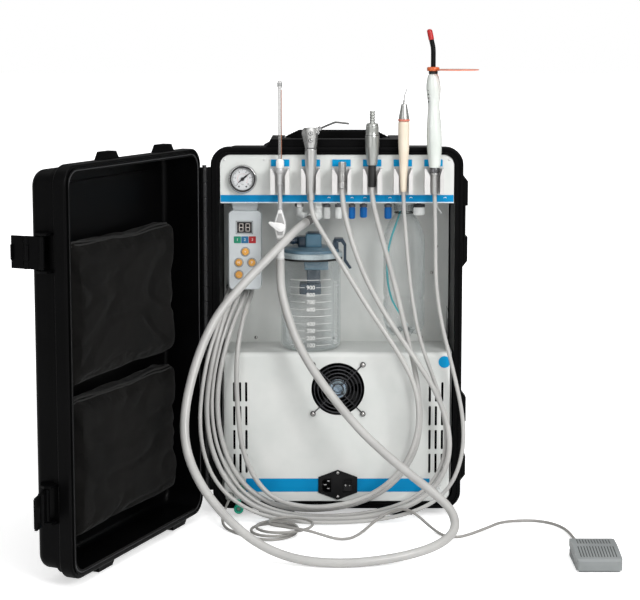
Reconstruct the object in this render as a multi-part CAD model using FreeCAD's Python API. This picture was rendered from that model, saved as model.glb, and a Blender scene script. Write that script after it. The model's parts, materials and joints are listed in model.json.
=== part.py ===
import FreeCAD, Part
import math
import os

# Portable dental unit: a wheeled-case style hard case standing on its feet, lid open to its left.
# Millimetres.  +Z up, +X to the right of the front, -Y towards the user.
# Origin: floor level, under the middle of the case base.

V = FreeCAD.Vector
X_AXIS = V(1, 0, 0)
Y_AXIS = V(0, 1, 0)
Z_AXIS = V(0, 0, 1)

# --- driving dimensions: case
RIM_HALF = 206.0          # rim half width
RIM_BOTTOM = 12.0
RIM_TOP = 615.5
FRONT = -95.0             # rim plane of the base
BACK = 95.0
RIM_DEPTH = 25.0
WALL_HALF = 196.0         # outside of the side walls
WALL_BOTTOM = 21.0
WALL_TOP = 607.0
WALL = 3.5
CORNER = 24.0
FOOT_X = 100.0
FOOT_BASE = 80.0
FOOT_TIP = 52.0
MID_Z = (RIM_BOTTOM + RIM_TOP) / 2

# --- driving dimensions: lid and its hinge
HINGE_X = -216.0
HINGE_Y = FRONT
LID_OPEN = 113.5          # degrees open at rest
LID_FACE = FRONT - 1.0    # rim plane of the closed lid
LID_DEPTH = 66.0
LID_BACK = LID_FACE - LID_DEPTH
LID_FOOT_LIFT = 1.0       # the lid's bumps ride this far above the floor
BUMP_Y = -112.5
TOP_BUMPS = ((62.0, 46.0, 30.0), (-109.0, 46.0, 30.0))       # place, width at the wall and at the tip
LOW_BUMPS = ((96.0, 56.0, 40.0), (-136.0, 56.0, 40.0))
BUMP_DEEP = (24.0, 15.0)
KNUCKLES = 22
KNUCKLE_PITCH = 24.5
KNUCKLE_GAP = 0.5
KNUCKLE_R = 5.0
PIN_R = 1.5
PIN_CLEARANCE = 0.06

# --- driving dimensions: latches
LATCH_Z = (491.0, 126.0)
LATCH_TALL = 48.0
LATCH_PIVOT = V(212.0, LID_FACE - 36.0, 0)      # in the closed lid
LATCH_LENGTH = 25.0
LATCH_SWING = (180.0, 75.0)                    # from pointing at the base
CATCH_LUGS = ((519.5, 559.5), (428.5, 468.0), (159.5, 200.0), (69.0, 101.0))
CATCH_BAR_R = 2.5

# --- driving dimensions: white panels
SHEET = 1.5
PANEL_FACE = FRONT + 2.0
PANEL_HALF = 190.5
FASCIA_BOTTOM = 524.0
FASCIA_TOP = 603.0
SHELF_TOP = 276.0
PANEL_BOTTOM = 25.0
RECESS_BACK = 10.0
PANEL_BEND = 8.0

# --- driving dimensions: instruments and holders
HOLDER_X = [-92.5 + 49.8 * i for i in range(6)]
TOOL_X = (-92.5, -42.7, 8.3, 56.5, 107.5, 158.0)
TOOL_Y = -111.0
HOLDER_WIDE = 31.0
HOLDER_Z = (541.0, 596.0)
FORK_GAP = 16.4

# --- driving dimensions: front panel fittings
GAUGE = V(-153.6, 0, 564.0)
GAUGE_R = 23.0
FAN = V(1.8, 0, 215.0)
FAN_SIDE = 92.0
FAN_HOLES = 82.5
INLET = V(1.8, 0, 53.0)
SLOT_X = (-170.0, -160.0, -150.0, 154.0, 164.3, 174.6)
SLOT_Z = (210.0, 169.7, 129.4, 89.1)
SLOT_TALL = 33.0
SLOT_WIDE = 3.8

# --- driving dimensions: control box, knobs, vessels, pedal
BOX = (-179.0, -124.5, -72.0, -44.0, 378.0, 509.5)
KEY_R = 6.0
KEYS = {"key_up": (-151.1, 441.2), "key_left": (-161.9, 423.3),
        "key_right": (-140.3, 423.3), "key_down": (-161.9, 403.0)}
KNOB_Y = -70.0
KNOBS = {"syringe_water_knob": (-16.3, 5.2, 24.0), "syringe_air_knob": (2.7, 5.2, 24.0),
         "turbine_water_knob": (24.9, 5.0, 24.0), "turbine_air_knob": (43.8, 5.6, 22.0),
         "motor_water_knob": (84.2, 5.6, 24.0), "bottle_pressure_knob": (135.2, 9.0, 18.0)}
JAR = V(-43.0, -43.0, SHELF_TOP)
JAR_R = 50.0
JAR_TALL = 154.0
BOTTLE = V(113.0, -30.0, 294.0)
BOTTLE_R = 35.0
PEDAL = V(390.0, -350.0, 0)
PEDAL_SIZE = (68.0, 90.0)

# --- hoses and cables: routes chosen by hand, tool end first
HOSES = {
    "suction_hose": (14.0, [
        (-43, -78, 496), (-60, -99, 488), (-90, -129, 460), (-123, -148, 428),
        (-154, -166, 398), (-187, -186, 361), (-208, -210, 324), (-222, -230, 287),
        (-232, -248, 250), (-238, -264, 214), (-238, -278, 177), (-228, -292, 141),
        (-209, -306, 107), (-182, -320, 75), (-148, -335, 45), (-108, -350, 22),
        (-58, -364, 9), (2, -374, 7.4), (57, -366, 9), (110, -351, 14),
        (155, -328, 22), (184, -293, 35), (180, -258, 57), (147, -233, 82),
        (101, -209, 113), (70, -195, 137), (36, -182, 167),
        (-7, -166, 216), (-41, -152, 261), (-65, -139, 302), (-82, -126, 348),
        (-91, -115, 383), (-92.5, -111.3, 410), (-92.5, -111, 434)]),
    "syringe_hose": (8.0, [
        (-42.7, -111, 531), (-42, -111.4, 513), (-32, -117, 491), (-12, -124, 460),
        (16, -130, 414), (48, -136, 361), (77, -140, 319), (103, -143, 279),
        (124, -145, 239), (133, -145, 200), (132, -144, 156), (118, -142, 111),
        (90, -140, 72), (54, -137, 46), (10, -134, 30), (-38, -131, 24),
        (-81, -128, 29), (-115, -126, 46), (-140, -124, 79), (-156, -122, 122),
        (-162, -120, 174), (-165, -118, 227), (-164, -108, 281), (-157, -90, 323),
        (-149, -66, 349), (-143, -44, 364), (-142, -24, 370.5), (-142, -6, 372)]),
    "turbine_hose": (8.5, [
        (8.3, -111, 549), (8.7, -111.4, 529), (14, -114, 499), (26, -119, 457),
        (45, -124, 407), (71, -128, 358), (99, -131, 314), (128, -133, 272),
        (156, -134, 229), (175, -134, 187), (185, -134, 142), (182, -134, 100),
        (164, -134, 63), (135, -134, 36), (94, -134, 19), (41, -134, 8),
        (-15, -134, 5.5), (-71, -134, 8), (-123, -134, 20), (-162, -134, 45),
        (-190, -134, 84), (-208, -134, 132), (-214, -134, 186), (-209, -131, 241),
        (-199, -124, 290), (-187, -106, 331), (-178, -77, 355), (-172.5, -47, 367),
        (-172, -24, 371), (-172, -6, 372)]),
    "motor_hose": (8.5, [
        (56.5, -111, 552), (57, -111.3, 532), (63, -111, 505), (75, -112, 461),
        (89, -114, 412), (102, -116, 361), (114, -118, 309), (126, -119, 262),
        (134, -119, 216), (138, -118, 169), (132, -117, 123), (112, -116, 82),
        (81, -115, 50), (42, -115, 29), (-5, -115, 18), (-56, -115, 15.5),
        (-104, -115, 24), (-144, -115, 48), (-171, -115, 82), (-189, -115, 127),
        (-197, -115, 178), (-195, -115, 231), (-185, -104, 282), (-171, -86, 325),
        (-160, -64, 349), (-153, -43, 364), (-152, -24, 370.5), (-152, -6, 372)]),
    "scaler_cable": (6.5, [
        (107.5, -111, 544), (107.6, -111.2, 524), (110, -110, 494), (114, -110, 446),
        (119, -112, 395), (127, -114, 341), (139, -116, 290), (156, -118, 245),
        (170, -121, 203), (179, -123, 156), (178, -124, 111), (163, -124, 72),
        (135, -124, 43), (94, -124, 23), (42, -124, 12), (-11, -124, 8),
        (-67, -124, 10), (-119, -124, 23), (-156, -124, 49), (-182, -124, 86),
        (-199, -124, 131), (-206, -124, 183), (-203, -122, 236), (-193, -114, 286),
        (-180, -96, 328), (-169, -71, 352), (-162.5, -45, 366), (-162, -24, 370.5),
        (-162, -6, 372)]),
    "curing_light_cable": (6.5, [
        (158, -111, 539), (158.3, -111, 519), (159.6, -109.5, 484), (160.2, -109, 441),
        (161, -109, 400), (166, -110, 355), (175, -112, 311), (187, -115, 265),
        (198, -119, 219), (206, -124, 177), (208, -131, 135), (200, -138, 94),
        (183, -144, 60), (152, -149, 34), (108, -151, 17), (54, -152, 8),
        (-3, -152, 5), (-64, -152, 6), (-123, -153, 17), (-169, -155, 42),
        (-201, -158, 79), (-218, -159, 125), (-223, -160, 178), (-218, -156, 235),
        (-208, -141, 286), (-194, -120, 326), (-187, -89, 353), (-183, -52, 367),
        (-182, -25, 370.5), (-182, -6, 372)]),
    "pedal_cable": (4.5, [
        (-178, -109, 33), (-179.4, -121, 31.2), (-184.6, -136, 21.6), (-188, -153, 10.6), (-183.4, -171.6, 4),
        (-170.6, -190.9, 2.6), (-155.1, -208.7, 2.6), (-137.9, -225, 2.6), (-118.7, -238.6, 3),
        (-95.5, -239.7, 3.5), (-75.8, -227.3, 4), (-65.1, -206.4, 4.4), (-66.5, -183.1, 4.9),
        (-80.8, -164.8, 5.4), (-103.3, -158.9, 5.9), (-125, -167.3, 6.4), (-138.1, -186.6, 6.9),
        (-138.6, -209.9, 7.4), (-126.3, -229.8, 7.9), (-105.1, -239.4, 8.4), (-82.2, -235.3, 8.9),
        (-66.1, -218.5, 9.4), (-62.3, -195.5, 9.9), (-71.7, -174.1, 10.4), (-91.2, -161.6, 11),
        (-114, -165.6, 11.6), (-129.1, -183.3, 12.1), (-131, -206.5, 12.6), (-119.1, -226.5, 13.1),
        (-98.1, -236.7, 13.7), (-74.6, -236, 14.2), (-53.6, -225.5, 14.7), (-39.7, -206.7, 15.2),
        (-39.5, -183.5, 15.9), (-55.2, -166.6, 16.6), (-78.1, -161.8, 17.3), (-99.9, -169.9, 18.1),
        (-112.3, -189.6, 19), (-108.7, -211.5, 19.7), (-88.2, -223.3, 19.9), (-67, -233.6, 19.9),
        (-45.2, -242.7, 18.9), (-22.9, -243.3, 11.9), (-0.5, -241.3, 4.5), (20.3, -231.3, 2.6),
        (32.9, -211.4, 2.6), (43.9, -190.6, 4.1), (56.5, -171.2, 9.1), (71.2, -153.9, 15.7),
        (91.3, -146.7, 24.8), (113.3, -152.8, 28.9), (130.7, -166.6, 21.8), (147, -178.6, 9.6),
        (160.1, -196.9, 3.3), (171.2, -217.8, 2.6), (192.1, -224.5, 2.6), (210.2, -209.6, 2.6),
        (227.2, -193.2, 3.3), (245.7, -178.6, 5.6), (262.3, -161.8, 7.2), (279.6, -145.8, 5.4),
        (299.5, -133.4, 3.1), (322.7, -130.8, 2.6), (344.3, -140, 2.6), (360, -157.5, 2.6),
        (369, -179.3, 2.6), (373.1, -202.6, 2.8), (374.4, -226.2, 3.8), (375, -241, 5),
        (373, -271, 7.4), (373, -297, 7)]),
}


# ---------------------------------------------------------------- helpers
def box(x0, x1, y0, y1, z0, z1):
    return Part.makeBox(x1 - x0, y1 - y0, z1 - z0, V(x0, y0, z0))


def rod(radius, start, end):
    start, end = V(*start), V(*end)
    return Part.makeCylinder(radius, (end - start).Length, start, end - start)


def taper(r0, r1, start, end):
    start, end = V(*start), V(*end)
    return Part.makeCone(r0, r1, (end - start).Length, start, end - start)


def join(first, *rest):
    return first.fuse(list(rest)).removeSplitter()


def edges_along(shape, axis, test):
    found = []
    for edge in shape.Edges:
        if edge.Curve.TypeId != "Part::GeomLine":
            continue
        middle = edge.CenterOfMass
        direction = edge.tangentAt(edge.FirstParameter)
        if abs(direction.dot(axis)) > 0.999 and test(middle):
            found.append(edge)
    return found


def plate(x0, x1, z0, z1, y0, y1, radius):
    """Block with the four edges that run along Y rounded."""
    block = box(x0, x1, y0, y1, z0, z1)
    return block.makeFillet(radius, edges_along(block, Y_AXIS, lambda m: True))


def ring_edges(shape, y, x0, x1, z0, z1):
    """The edges of the outline that lies in the plane y, on the given box."""
    found = []
    for edge in shape.Edges:
        bounds = edge.BoundBox
        if abs(bounds.YMin - y) > 0.01 or abs(bounds.YMax - y) > 0.01:
            continue
        near_x = min(abs(bounds.XMin - x0), abs(bounds.XMax - x1)) < CORNER + 0.1
        near_z = min(abs(bounds.ZMin - z0), abs(bounds.ZMax - z1)) < CORNER + 0.1
        if near_x or near_z:
            found.append(edge)
    return found


def prism(points, vector):
    corners = [V(*p) for p in points]
    return Part.Face(Part.makePolygon(corners + corners[:1])).extrude(vector)


def turned(profile, x, y):
    """Solid of revolution about the vertical line through (x, y); profile is (radius, z)."""
    line = [V(x, y, profile[0][1])]
    line += [V(x + radius, y, z) for radius, z in profile]
    line.append(V(x, y, profile[-1][1]))
    face = Part.Face(Part.makePolygon(line + line[:1]))
    return face.revolve(V(x, y, 0), Z_AXIS, 360)


def hollow_turned(outer, inner, x, y):
    points = [V(x + r, y, z) for r, z in outer] + [V(x + r, y, z) for r, z in reversed(inner)]
    return Part.Face(Part.makePolygon(points + points[:1])).revolve(V(x, y, 0), Z_AXIS, 360)


def tube(name, diameter, points):
    """Straight runs joined by tangent arcs, each as large as its two runs allow."""
    points = [V(*p) for p in points]
    edges, radii, start = [], [], points[0]
    for before, corner, after in zip(points, points[1:], points[2:]):
        inward, outward = corner - before, after - corner
        reach = 0.45 * min(inward.Length, outward.Length)
        turn = inward.getAngle(outward)
        radius = reach / math.tan(turn / 2)
        radii.append(radius)
        arc_in = corner - inward.normalize() * reach
        arc_out = corner + outward.normalize() * reach
        chord_mid = (arc_in + arc_out) * 0.5
        towards = (corner - chord_mid).normalize()
        sagitta = radius * (1 - math.cos(turn / 2))
        edges.append(Part.LineSegment(start, arc_in).toShape())
        edges.append(Part.Arc(arc_in, chord_mid + towards * sagitta, arc_out).toShape())
        start = arc_out
    edges.append(Part.LineSegment(start, points[-1]).toShape())
    path = Part.Wire(edges)
    section = Part.Wire([Part.makeCircle(diameter / 2, points[0], points[1] - points[0])])
    solid = path.makePipeShell([section], True, False)
    ratio = solid.Volume / (math.pi * diameter ** 2 / 4 * path.Length)
    lowest = solid.BoundBox.ZMin
    print(name, "length", round(path.Length), "least radius", round(min(radii)),
          "of", round(min(radii) / diameter, 1), "diameters, volume ratio",
          round(ratio, 4), "lowest", round(lowest, 2), "valid", solid.isValid())
    return solid


def swing_lid(shape):
    shape = shape.copy()
    shape.rotate(V(HINGE_X, HINGE_Y, 0), Z_AXIS, -LID_OPEN)
    return shape


# ---------------------------------------------------------------- case base
def foot(x, y0, y1, z_wall, z_tip):
    half, tip = FOOT_BASE / 2, FOOT_TIP / 2
    points = [(x - half, y0, z_wall), (x + half, y0, z_wall), (x + tip, y0, z_tip), (x - tip, y0, z_tip)]
    return prism(points, V(0, y1 - y0, 0))


def hinge_knuckles(parity, leaf_from, leaf_to, side):
    """Every second knuckle of the long hinge, each with its leaf back to the rim."""
    first = MID_Z - KNUCKLES * KNUCKLE_PITCH / 2
    parts = []
    for index in range(parity, KNUCKLES, 2):
        low = first + index * KNUCKLE_PITCH + KNUCKLE_GAP / 2
        high = low + KNUCKLE_PITCH - KNUCKLE_GAP
        barrel = rod(KNUCKLE_R, (HINGE_X, HINGE_Y, low), (HINGE_X, HINGE_Y, high))
        leaf = box(leaf_from, leaf_to, min(HINGE_Y, side), max(HINGE_Y, side), low, high)
        bore = rod(PIN_R + PIN_CLEARANCE, (HINGE_X, HINGE_Y, low - 1), (HINGE_X, HINGE_Y, high + 1))
        parts.append(barrel.fuse(leaf).cut(bore))
    return parts


def handle_lug():
    low, high, y0, y1 = WALL_TOP - 3, 628.0, -90.0, 25.0
    points = [(-122, y0, low), (122, y0, low), (122, y0, 613), (114, y0, 617), (108, y0, high),
              (-108, y0, high), (-114, y0, 617), (-122, y0, 613)]
    block = prism(points, V(0, y1 - y0, 0))
    return block.cut(box(-87, 87, -62, y1 + 1, 612, high + 1))


HANDLE_PIVOT = V(0, -48.0, 620.0)
HANDLE_PIN_R = 4.0


def case_base():
    outer = plate(-WALL_HALF, WALL_HALF, WALL_BOTTOM, WALL_TOP, FRONT + RIM_DEPTH - 5, BACK, CORNER)
    outer = outer.makeFillet(13, ring_edges(outer, BACK, -WALL_HALF, WALL_HALF, WALL_BOTTOM, WALL_TOP))
    rim = plate(-RIM_HALF, RIM_HALF, RIM_BOTTOM, RIM_TOP, FRONT, FRONT + RIM_DEPTH, CORNER + 5)
    rim = rim.makeFillet(3, [e for e in rim.Edges if e.BoundBox.YLength < 0.01])
    lip = plate(-RIM_HALF + 5, RIM_HALF - 5, RIM_BOTTOM + 5, RIM_TOP - 5,
                FRONT + RIM_DEPTH - 1, FRONT + RIM_DEPTH + 9, CORNER + 2)
    feet = [foot(sign * FOOT_X, FRONT + 6, BACK - 16, WALL_BOTTOM + 2, 0) for sign in (-1, 1)]
    cross_rib = box(-FOOT_X, FOOT_X, -8, 8, 0, WALL_BOTTOM + 2)
    shell = join(outer, rim, lip, handle_lug(), cross_rib, *feet)
    inner = WALL_HALF - WALL
    cavity = plate(-inner, inner, WALL_BOTTOM + WALL, WALL_TOP - WALL, FRONT - 1, BACK - WALL, CORNER - WALL)
    cavity = cavity.makeFillet(9, ring_edges(cavity, BACK - WALL, -inner, inner,
                                             WALL_BOTTOM + WALL, WALL_TOP - WALL))
    groove = plate(-RIM_HALF + 5, RIM_HALF - 5, RIM_BOTTOM + 5, RIM_TOP - 5, FRONT - 1, FRONT + 2.2, CORNER)
    groove = groove.cut(plate(-RIM_HALF + 8.5, RIM_HALF - 8.5, RIM_BOTTOM + 8.5, RIM_TOP - 8.5,
                              FRONT - 2, FRONT + 3, CORNER - 3.5))
    pins = rod(HANDLE_PIN_R + 0.06, (-101, HANDLE_PIVOT.y, HANDLE_PIVOT.z),
               (101, HANDLE_PIVOT.y, HANDLE_PIVOT.z))
    shell = shell.cut([cavity, groove, pins])
    ribs = [box(x - 5, x + 5, BACK - 2, BACK + 1.5, 90, 540) for x in (-110, 0, 110)]
    hinge = hinge_knuckles(0, HINGE_X, -RIM_HALF + 1, HINGE_Y + 4) + [hinge_strip(HINGE_Y + 0.4, HINGE_Y + 4)]
    return join(shell, *(ribs + catches() + hinge))


def catches():
    """Lug pairs on the right wall, sloped away from the latch; the bar between them takes its hook."""
    parts = []
    for index, (low, high) in enumerate(CATCH_LUGS):
        above, below = (26, 0) if index % 2 == 0 else (0, 26)
        points = [(WALL_HALF - 2, FRONT + 6, low - below), (WALL_HALF - 2, FRONT + 6, high + above),
                  (214, FRONT + 6, high), (214, FRONT + 6, low)]
        parts.append(prism(points, V(0, 26, 0)))
    for centre in LATCH_Z:
        half = 30
        parts.append(rod(CATCH_BAR_R, (208, FRONT + 6, centre - half), (208, FRONT + 6, centre + half)))
    return parts


def hinge_pin():
    half = KNUCKLES * KNUCKLE_PITCH / 2
    pin = rod(PIN_R, (HINGE_X, HINGE_Y, MID_Z - half - 2), (HINGE_X, HINGE_Y, MID_Z + half + 2))
    head = rod(3.6, (HINGE_X, HINGE_Y, MID_Z + half + 0.4), (HINGE_X, HINGE_Y, MID_Z + half + 3))
    return join(pin, head)


def carry_handle():
    """U of two arms and a grip, folded back over the top; short pins turn in the lug."""
    pivot = HANDLE_PIVOT
    parts = []
    for sign in (-1, 1):
        parts.append(rod(7, (sign * 77, pivot.y, pivot.z), (sign * 86, pivot.y, pivot.z)))
        parts.append(rod(HANDLE_PIN_R, (sign * 85, pivot.y, pivot.z), (sign * 99, pivot.y, pivot.z)))
        arm = prism([(sign * 77, pivot.y - 4, pivot.z + 3), (sign * 77, pivot.y + 3, pivot.z - 5),
                     (sign * 77, 4, 624), (sign * 77, 4, 627), (sign * 77, -2, 628)], V(sign * 9, 0, 0))
        parts.append(arm)
    grip = prism([(-86, -10, 624), (86, -10, 624), (86, -10, 627), (62, -10, 638.5), (-62, -10, 638.5),
                  (-86, -10, 627)], V(0, 18, 0))
    grip = grip.makeFillet(2.5, [e for e in grip.Edges if e.BoundBox.ZMin > 638 or e.BoundBox.YLength > 17
                                 and e.BoundBox.ZMin > 630])
    ridges = [box(sign * (64 + 4 * i) - 1, sign * (64 + 4 * i) + 1, -11, 9, 623.5, 638 - 1.9 * i)
              for sign in (-1, 1) for i in range(5)]
    return join(grip, *(parts + ridges))


# ---------------------------------------------------------------- lid
def bump(x, wide, tip, z_wall, z_tip):
    """Moulded bump on the lid's edge, sloped on all four sides."""
    deep, deep_tip = BUMP_DEEP
    front = prism([(x - wide / 2, -150, z_wall), (x + wide / 2, -150, z_wall),
                   (x + tip / 2, -150, z_tip), (x - tip / 2, -150, z_tip)], V(0, 100, 0))
    side = prism([(-200, BUMP_Y - deep / 2, z_wall), (-200, BUMP_Y + deep / 2, z_wall),
                  (-200, BUMP_Y + deep_tip / 2, z_tip), (-200, BUMP_Y - deep_tip / 2, z_tip)], V(400, 0, 0))
    return front.common(side)


def hinge_strip(y0, y1):
    """Flat strip along the rim that closes the gaps between the leaves."""
    half = KNUCKLES * KNUCKLE_PITCH / 2
    return box(HINGE_X + KNUCKLE_R + 0.5, -RIM_HALF + 1, y0, y1, MID_Z - half, MID_Z + half)


def lid_shell():
    back = LID_BACK
    outer = plate(-WALL_HALF, WALL_HALF, WALL_BOTTOM, WALL_TOP, back, LID_FACE - 20, CORNER)
    outer = outer.makeFillet(13, ring_edges(outer, back, -WALL_HALF, WALL_HALF, WALL_BOTTOM, WALL_TOP))
    rim = plate(-RIM_HALF, RIM_HALF, RIM_BOTTOM, RIM_TOP, LID_FACE - 21, LID_FACE, CORNER + 5)
    rim = rim.makeFillet(3, [e for e in rim.Edges if e.BoundBox.YLength < 0.01])
    lip = plate(-RIM_HALF + 5, RIM_HALF - 5, RIM_BOTTOM + 5, RIM_TOP - 5,
                LID_FACE - 30, LID_FACE - 20, CORNER + 2)
    bumps = [bump(x, wide, tip, WALL_TOP - 2, 626.5) for x, wide, tip in TOP_BUMPS]
    bumps += [bump(x, wide, tip, WALL_BOTTOM + 2, LID_FOOT_LIFT) for x, wide, tip in LOW_BUMPS]
    shell = join(outer, rim, lip, *bumps)
    inner = WALL_HALF - WALL
    cavity = plate(-inner, inner, WALL_BOTTOM + WALL, WALL_TOP - WALL,
                   back + WALL, LID_FACE + 1, CORNER - WALL)
    cavity = cavity.makeFillet(9, ring_edges(cavity, back + WALL, -inner, inner,
                                             WALL_BOTTOM + WALL, WALL_TOP - WALL))
    emboss = plate(-158, 168, 46, 582, back + 1, back + WALL + 2.5, 20)
    tongue = plate(-RIM_HALF + 5.8, RIM_HALF - 5.8, RIM_BOTTOM + 5.8, RIM_TOP - 5.8,
                   LID_FACE - 1, LID_FACE + 1.8, CORNER - 1)
    tongue = tongue.cut(plate(-RIM_HALF + 7.8, RIM_HALF - 7.8, RIM_BOTTOM + 7.8, RIM_TOP - 7.8,
                              LID_FACE - 2, LID_FACE + 3, CORNER - 3))
    parts = [emboss, tongue, hinge_strip(HINGE_Y - 4, HINGE_Y - 0.4)]
    parts += hinge_knuckles(1, HINGE_X, -RIM_HALF + 1, HINGE_Y - 4)
    shell = join(shell.cut(cavity), *(parts + latch_lugs()))
    return swing_lid(shell)


def latch_lugs():
    """Two flanges beside each latch, and the pin that its arm turns on."""
    parts = []
    for centre in LATCH_Z:
        for sign in (-1, 1):
            z = centre + sign * (LATCH_TALL / 2 + 3)
            low, high = z - 1.8, z + 1.8
            points = [(WALL_HALF - 2, LATCH_PIVOT.y - 20, low), (WALL_HALF - 2, LATCH_PIVOT.y + 14, low),
                      (214, LATCH_PIVOT.y + 9, low), (218, LATCH_PIVOT.y, low),
                      (214, LATCH_PIVOT.y - 9, low)]
            parts.append(prism(points, V(0, 0, high - low)))
        half = LATCH_TALL / 2 + 4
        parts.append(rod(2, (LATCH_PIVOT.x, LATCH_PIVOT.y, centre - half),
                         (LATCH_PIVOT.x, LATCH_PIVOT.y, centre + half)))
    return parts


def place_latch(shape, index):
    """From the latch's own frame (pivot at 0,0, reaching along +Y) into the open lid."""
    shape = shape.copy()
    shape.rotate(V(0, 0, 0), Z_AXIS, -LATCH_SWING[index])
    shape.translate(V(LATCH_PIVOT.x, LATCH_PIVOT.y, LATCH_Z[index]))
    return swing_lid(shape)


def latch_arm(index):
    half = LATCH_TALL / 2 - 0.5
    barrel = rod(4.4, (0, 0, -half), (0, 0, half))
    web = box(-1.5, 4, 0, LATCH_LENGTH - 5.2, -half, half)
    ends = []
    for sign in (-1, 1):
        low, high = sorted((sign * half, sign * 12.4))
        ends.append(join(rod(4.4, (0, LATCH_LENGTH, low), (0, LATCH_LENGTH, high)),
                         box(-1.5, 4, LATCH_LENGTH - 6, LATCH_LENGTH, low, high)))
    arm = join(barrel, web, *ends)
    arm = arm.cut(rod(2.06, (0, 0, -half - 1), (0, 0, half + 1)))
    return join(arm, rod(1.6, (0, LATCH_LENGTH, -half + 1), (0, LATCH_LENGTH, half - 1)))


def latch_lever(index):
    """Ribbed finger flap with the hook that closes round the catch bar."""
    base = LATCH_LENGTH
    barrel = rod(4.4, (0, base, -12), (0, base, 12))
    neck = box(-1.5, 4, base, base + 6, -12, 12)
    flap = box(-1.5, 2.5, base + 4.9, base + 25, -LATCH_TALL / 2 + 0.5, LATCH_TALL / 2 - 0.5)
    ribs = [box(2, 3.8, base + 9 + 3.2 * i, base + 10.4 + 3.2 * i, -21, 21) for i in range(5)]
    hook = prism([(-1, base + 21.5, -11), (-5.2, base + 21.5, -11), (-5.2, base + 24, -11),
                  (-1, base + 25, -11)], V(0, 0, 22))
    lever = join(barrel, neck, flap, hook, *ribs)
    return lever.cut(rod(1.66, (0, base, -14), (0, base, 14)))


def soft_pocket(z0, z1):
    pocket = plate(-158, 166, z0, z1, LID_BACK + WALL + 2.9, LID_BACK + 46, 16)
    front = [e for e in pocket.Edges if e.BoundBox.YLength < 0.01 and e.BoundBox.YMin > LID_BACK + 40]
    return swing_lid(pocket.makeFillet(9, front))


# ---------------------------------------------------------------- white panels
def fascia_panel():
    front = plate(-PANEL_HALF, PANEL_HALF, FASCIA_BOTTOM - 20, FASCIA_TOP, PANEL_FACE, PANEL_FACE + SHEET, 17)
    front = front.cut(box(-200, 200, -100, -80, FASCIA_BOTTOM - 30, FASCIA_BOTTOM))
    under = box(-PANEL_HALF, PANEL_HALF, PANEL_FACE, RECESS_BACK, FASCIA_BOTTOM, FASCIA_BOTTOM + SHEET)
    holes = [rod(GAUGE_R - 1.5, (GAUGE.x, -100, GAUGE.z), (GAUGE.x, -80, GAUGE.z))]
    holes += [rod(3.2, (x, KNOB_Y, 515), (x, KNOB_Y, 530)) for x, r, length in KNOBS.values()]
    return join(front, under).cut(holes)


def recess_back_panel():
    return box(-PANEL_HALF, PANEL_HALF, RECESS_BACK, RECESS_BACK + SHEET, SHELF_TOP - 10, FASCIA_BOTTOM + 20)


def bent_cover(grow, top):
    face, half = PANEL_FACE + grow, PANEL_HALF - grow
    block = box(-half, half, face, RECESS_BACK, PANEL_BOTTOM, top)
    corner_edges = edges_along(block, Z_AXIS, lambda m: m.y < face + 1)
    corner_edges += edges_along(block, X_AXIS, lambda m: m.y < face + 1 and m.z > top - 1)
    return block.makeFillet(PANEL_BEND - grow, corner_edges)


def front_cover():
    """Bent sheet: front, two returns and the shelf that the jar stands on."""
    hollow = bent_cover(SHEET, SHELF_TOP - SHEET)
    below = box(-PANEL_HALF + SHEET, PANEL_HALF - SHEET, PANEL_FACE + SHEET, RECESS_BACK + 1,
                PANEL_BOTTOM - 1, SHELF_TOP - 20)
    cuts = [hollow, below, rod(44, (FAN.x, -100, FAN.z), (FAN.x, -80, FAN.z))]
    for x in SLOT_X:
        for z in SLOT_Z:
            cuts.append(plate(x - SLOT_WIDE / 2, x + SLOT_WIDE / 2, z - SLOT_TALL / 2, z + SLOT_TALL / 2,
                              -100, -85, SLOT_WIDE / 2 - 0.05))
    cuts.append(box(INLET.x - 27, INLET.x + 27, -100, -80, INLET.z - 15.5, INLET.z + 15.5))
    corners = plate(-PANEL_HALF, PANEL_HALF, PANEL_BOTTOM, 400, -110, 20, 22)
    return bent_cover(0, SHELF_TOP).cut(cuts).common(corners)


def screw(x, y, z, radius=2.6):
    dome = Part.makeSphere(radius * 1.3, V(x, y + radius * 0.62, z), Y_AXIS * -1, 0, 90, 360)
    head = dome.common(box(x - 9, x + 9, y - 9, y - 0.01, z - 9, z + 9))
    return head.cut(box(x - radius, x + radius, y - 9, y - radius * 0.42, z - 0.35, z + 0.35))


def panel_screws():
    spots = [(-137.2, 282.8), (-3.9, 281.9), (145.4, 283.6), (162.5, 394.9), (-170, 513), (170, 440)]
    heads = [screw(x, RECESS_BACK, z) for x, z in spots]
    for x in (-183, -118, 183):
        heads.append(screw(x, PANEL_FACE, 595.0, 2.2))
    for dx in (-1, 1):
        for dz in (-1, 1):
            heads.append(screw(FAN.x + dx * FAN_HOLES / 2, -97.2, FAN.z + dz * FAN_HOLES / 2, 3.0))
    for dz in (-1, 1):
        heads.append(screw(INLET.x, -95.2, INLET.z + dz * 20.2, 2.3))
    return heads


def instrument_holder(x, tool_x):
    """Back plate with two fork arms whose gap is centred on the instrument."""
    low, high = HOLDER_Z
    half, gap = HOLDER_WIDE / 2, FORK_GAP / 2
    parts = []
    for sign in (-1, 1):
        edge, slot, funnel = x + sign * half, tool_x + sign * gap, x + sign * (half - 2.5)
        points = [(edge, low), (slot, low), (slot, high - 25), (funnel, high - 14), (edge, high - 14)]
        parts.append(prism([(px, PANEL_FACE - 30, z) for px, z in points], V(0, 27, 0)))
    return join(box(x - half, x + half, PANEL_FACE - 4, PANEL_FACE, low, high), *parts)


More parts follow.
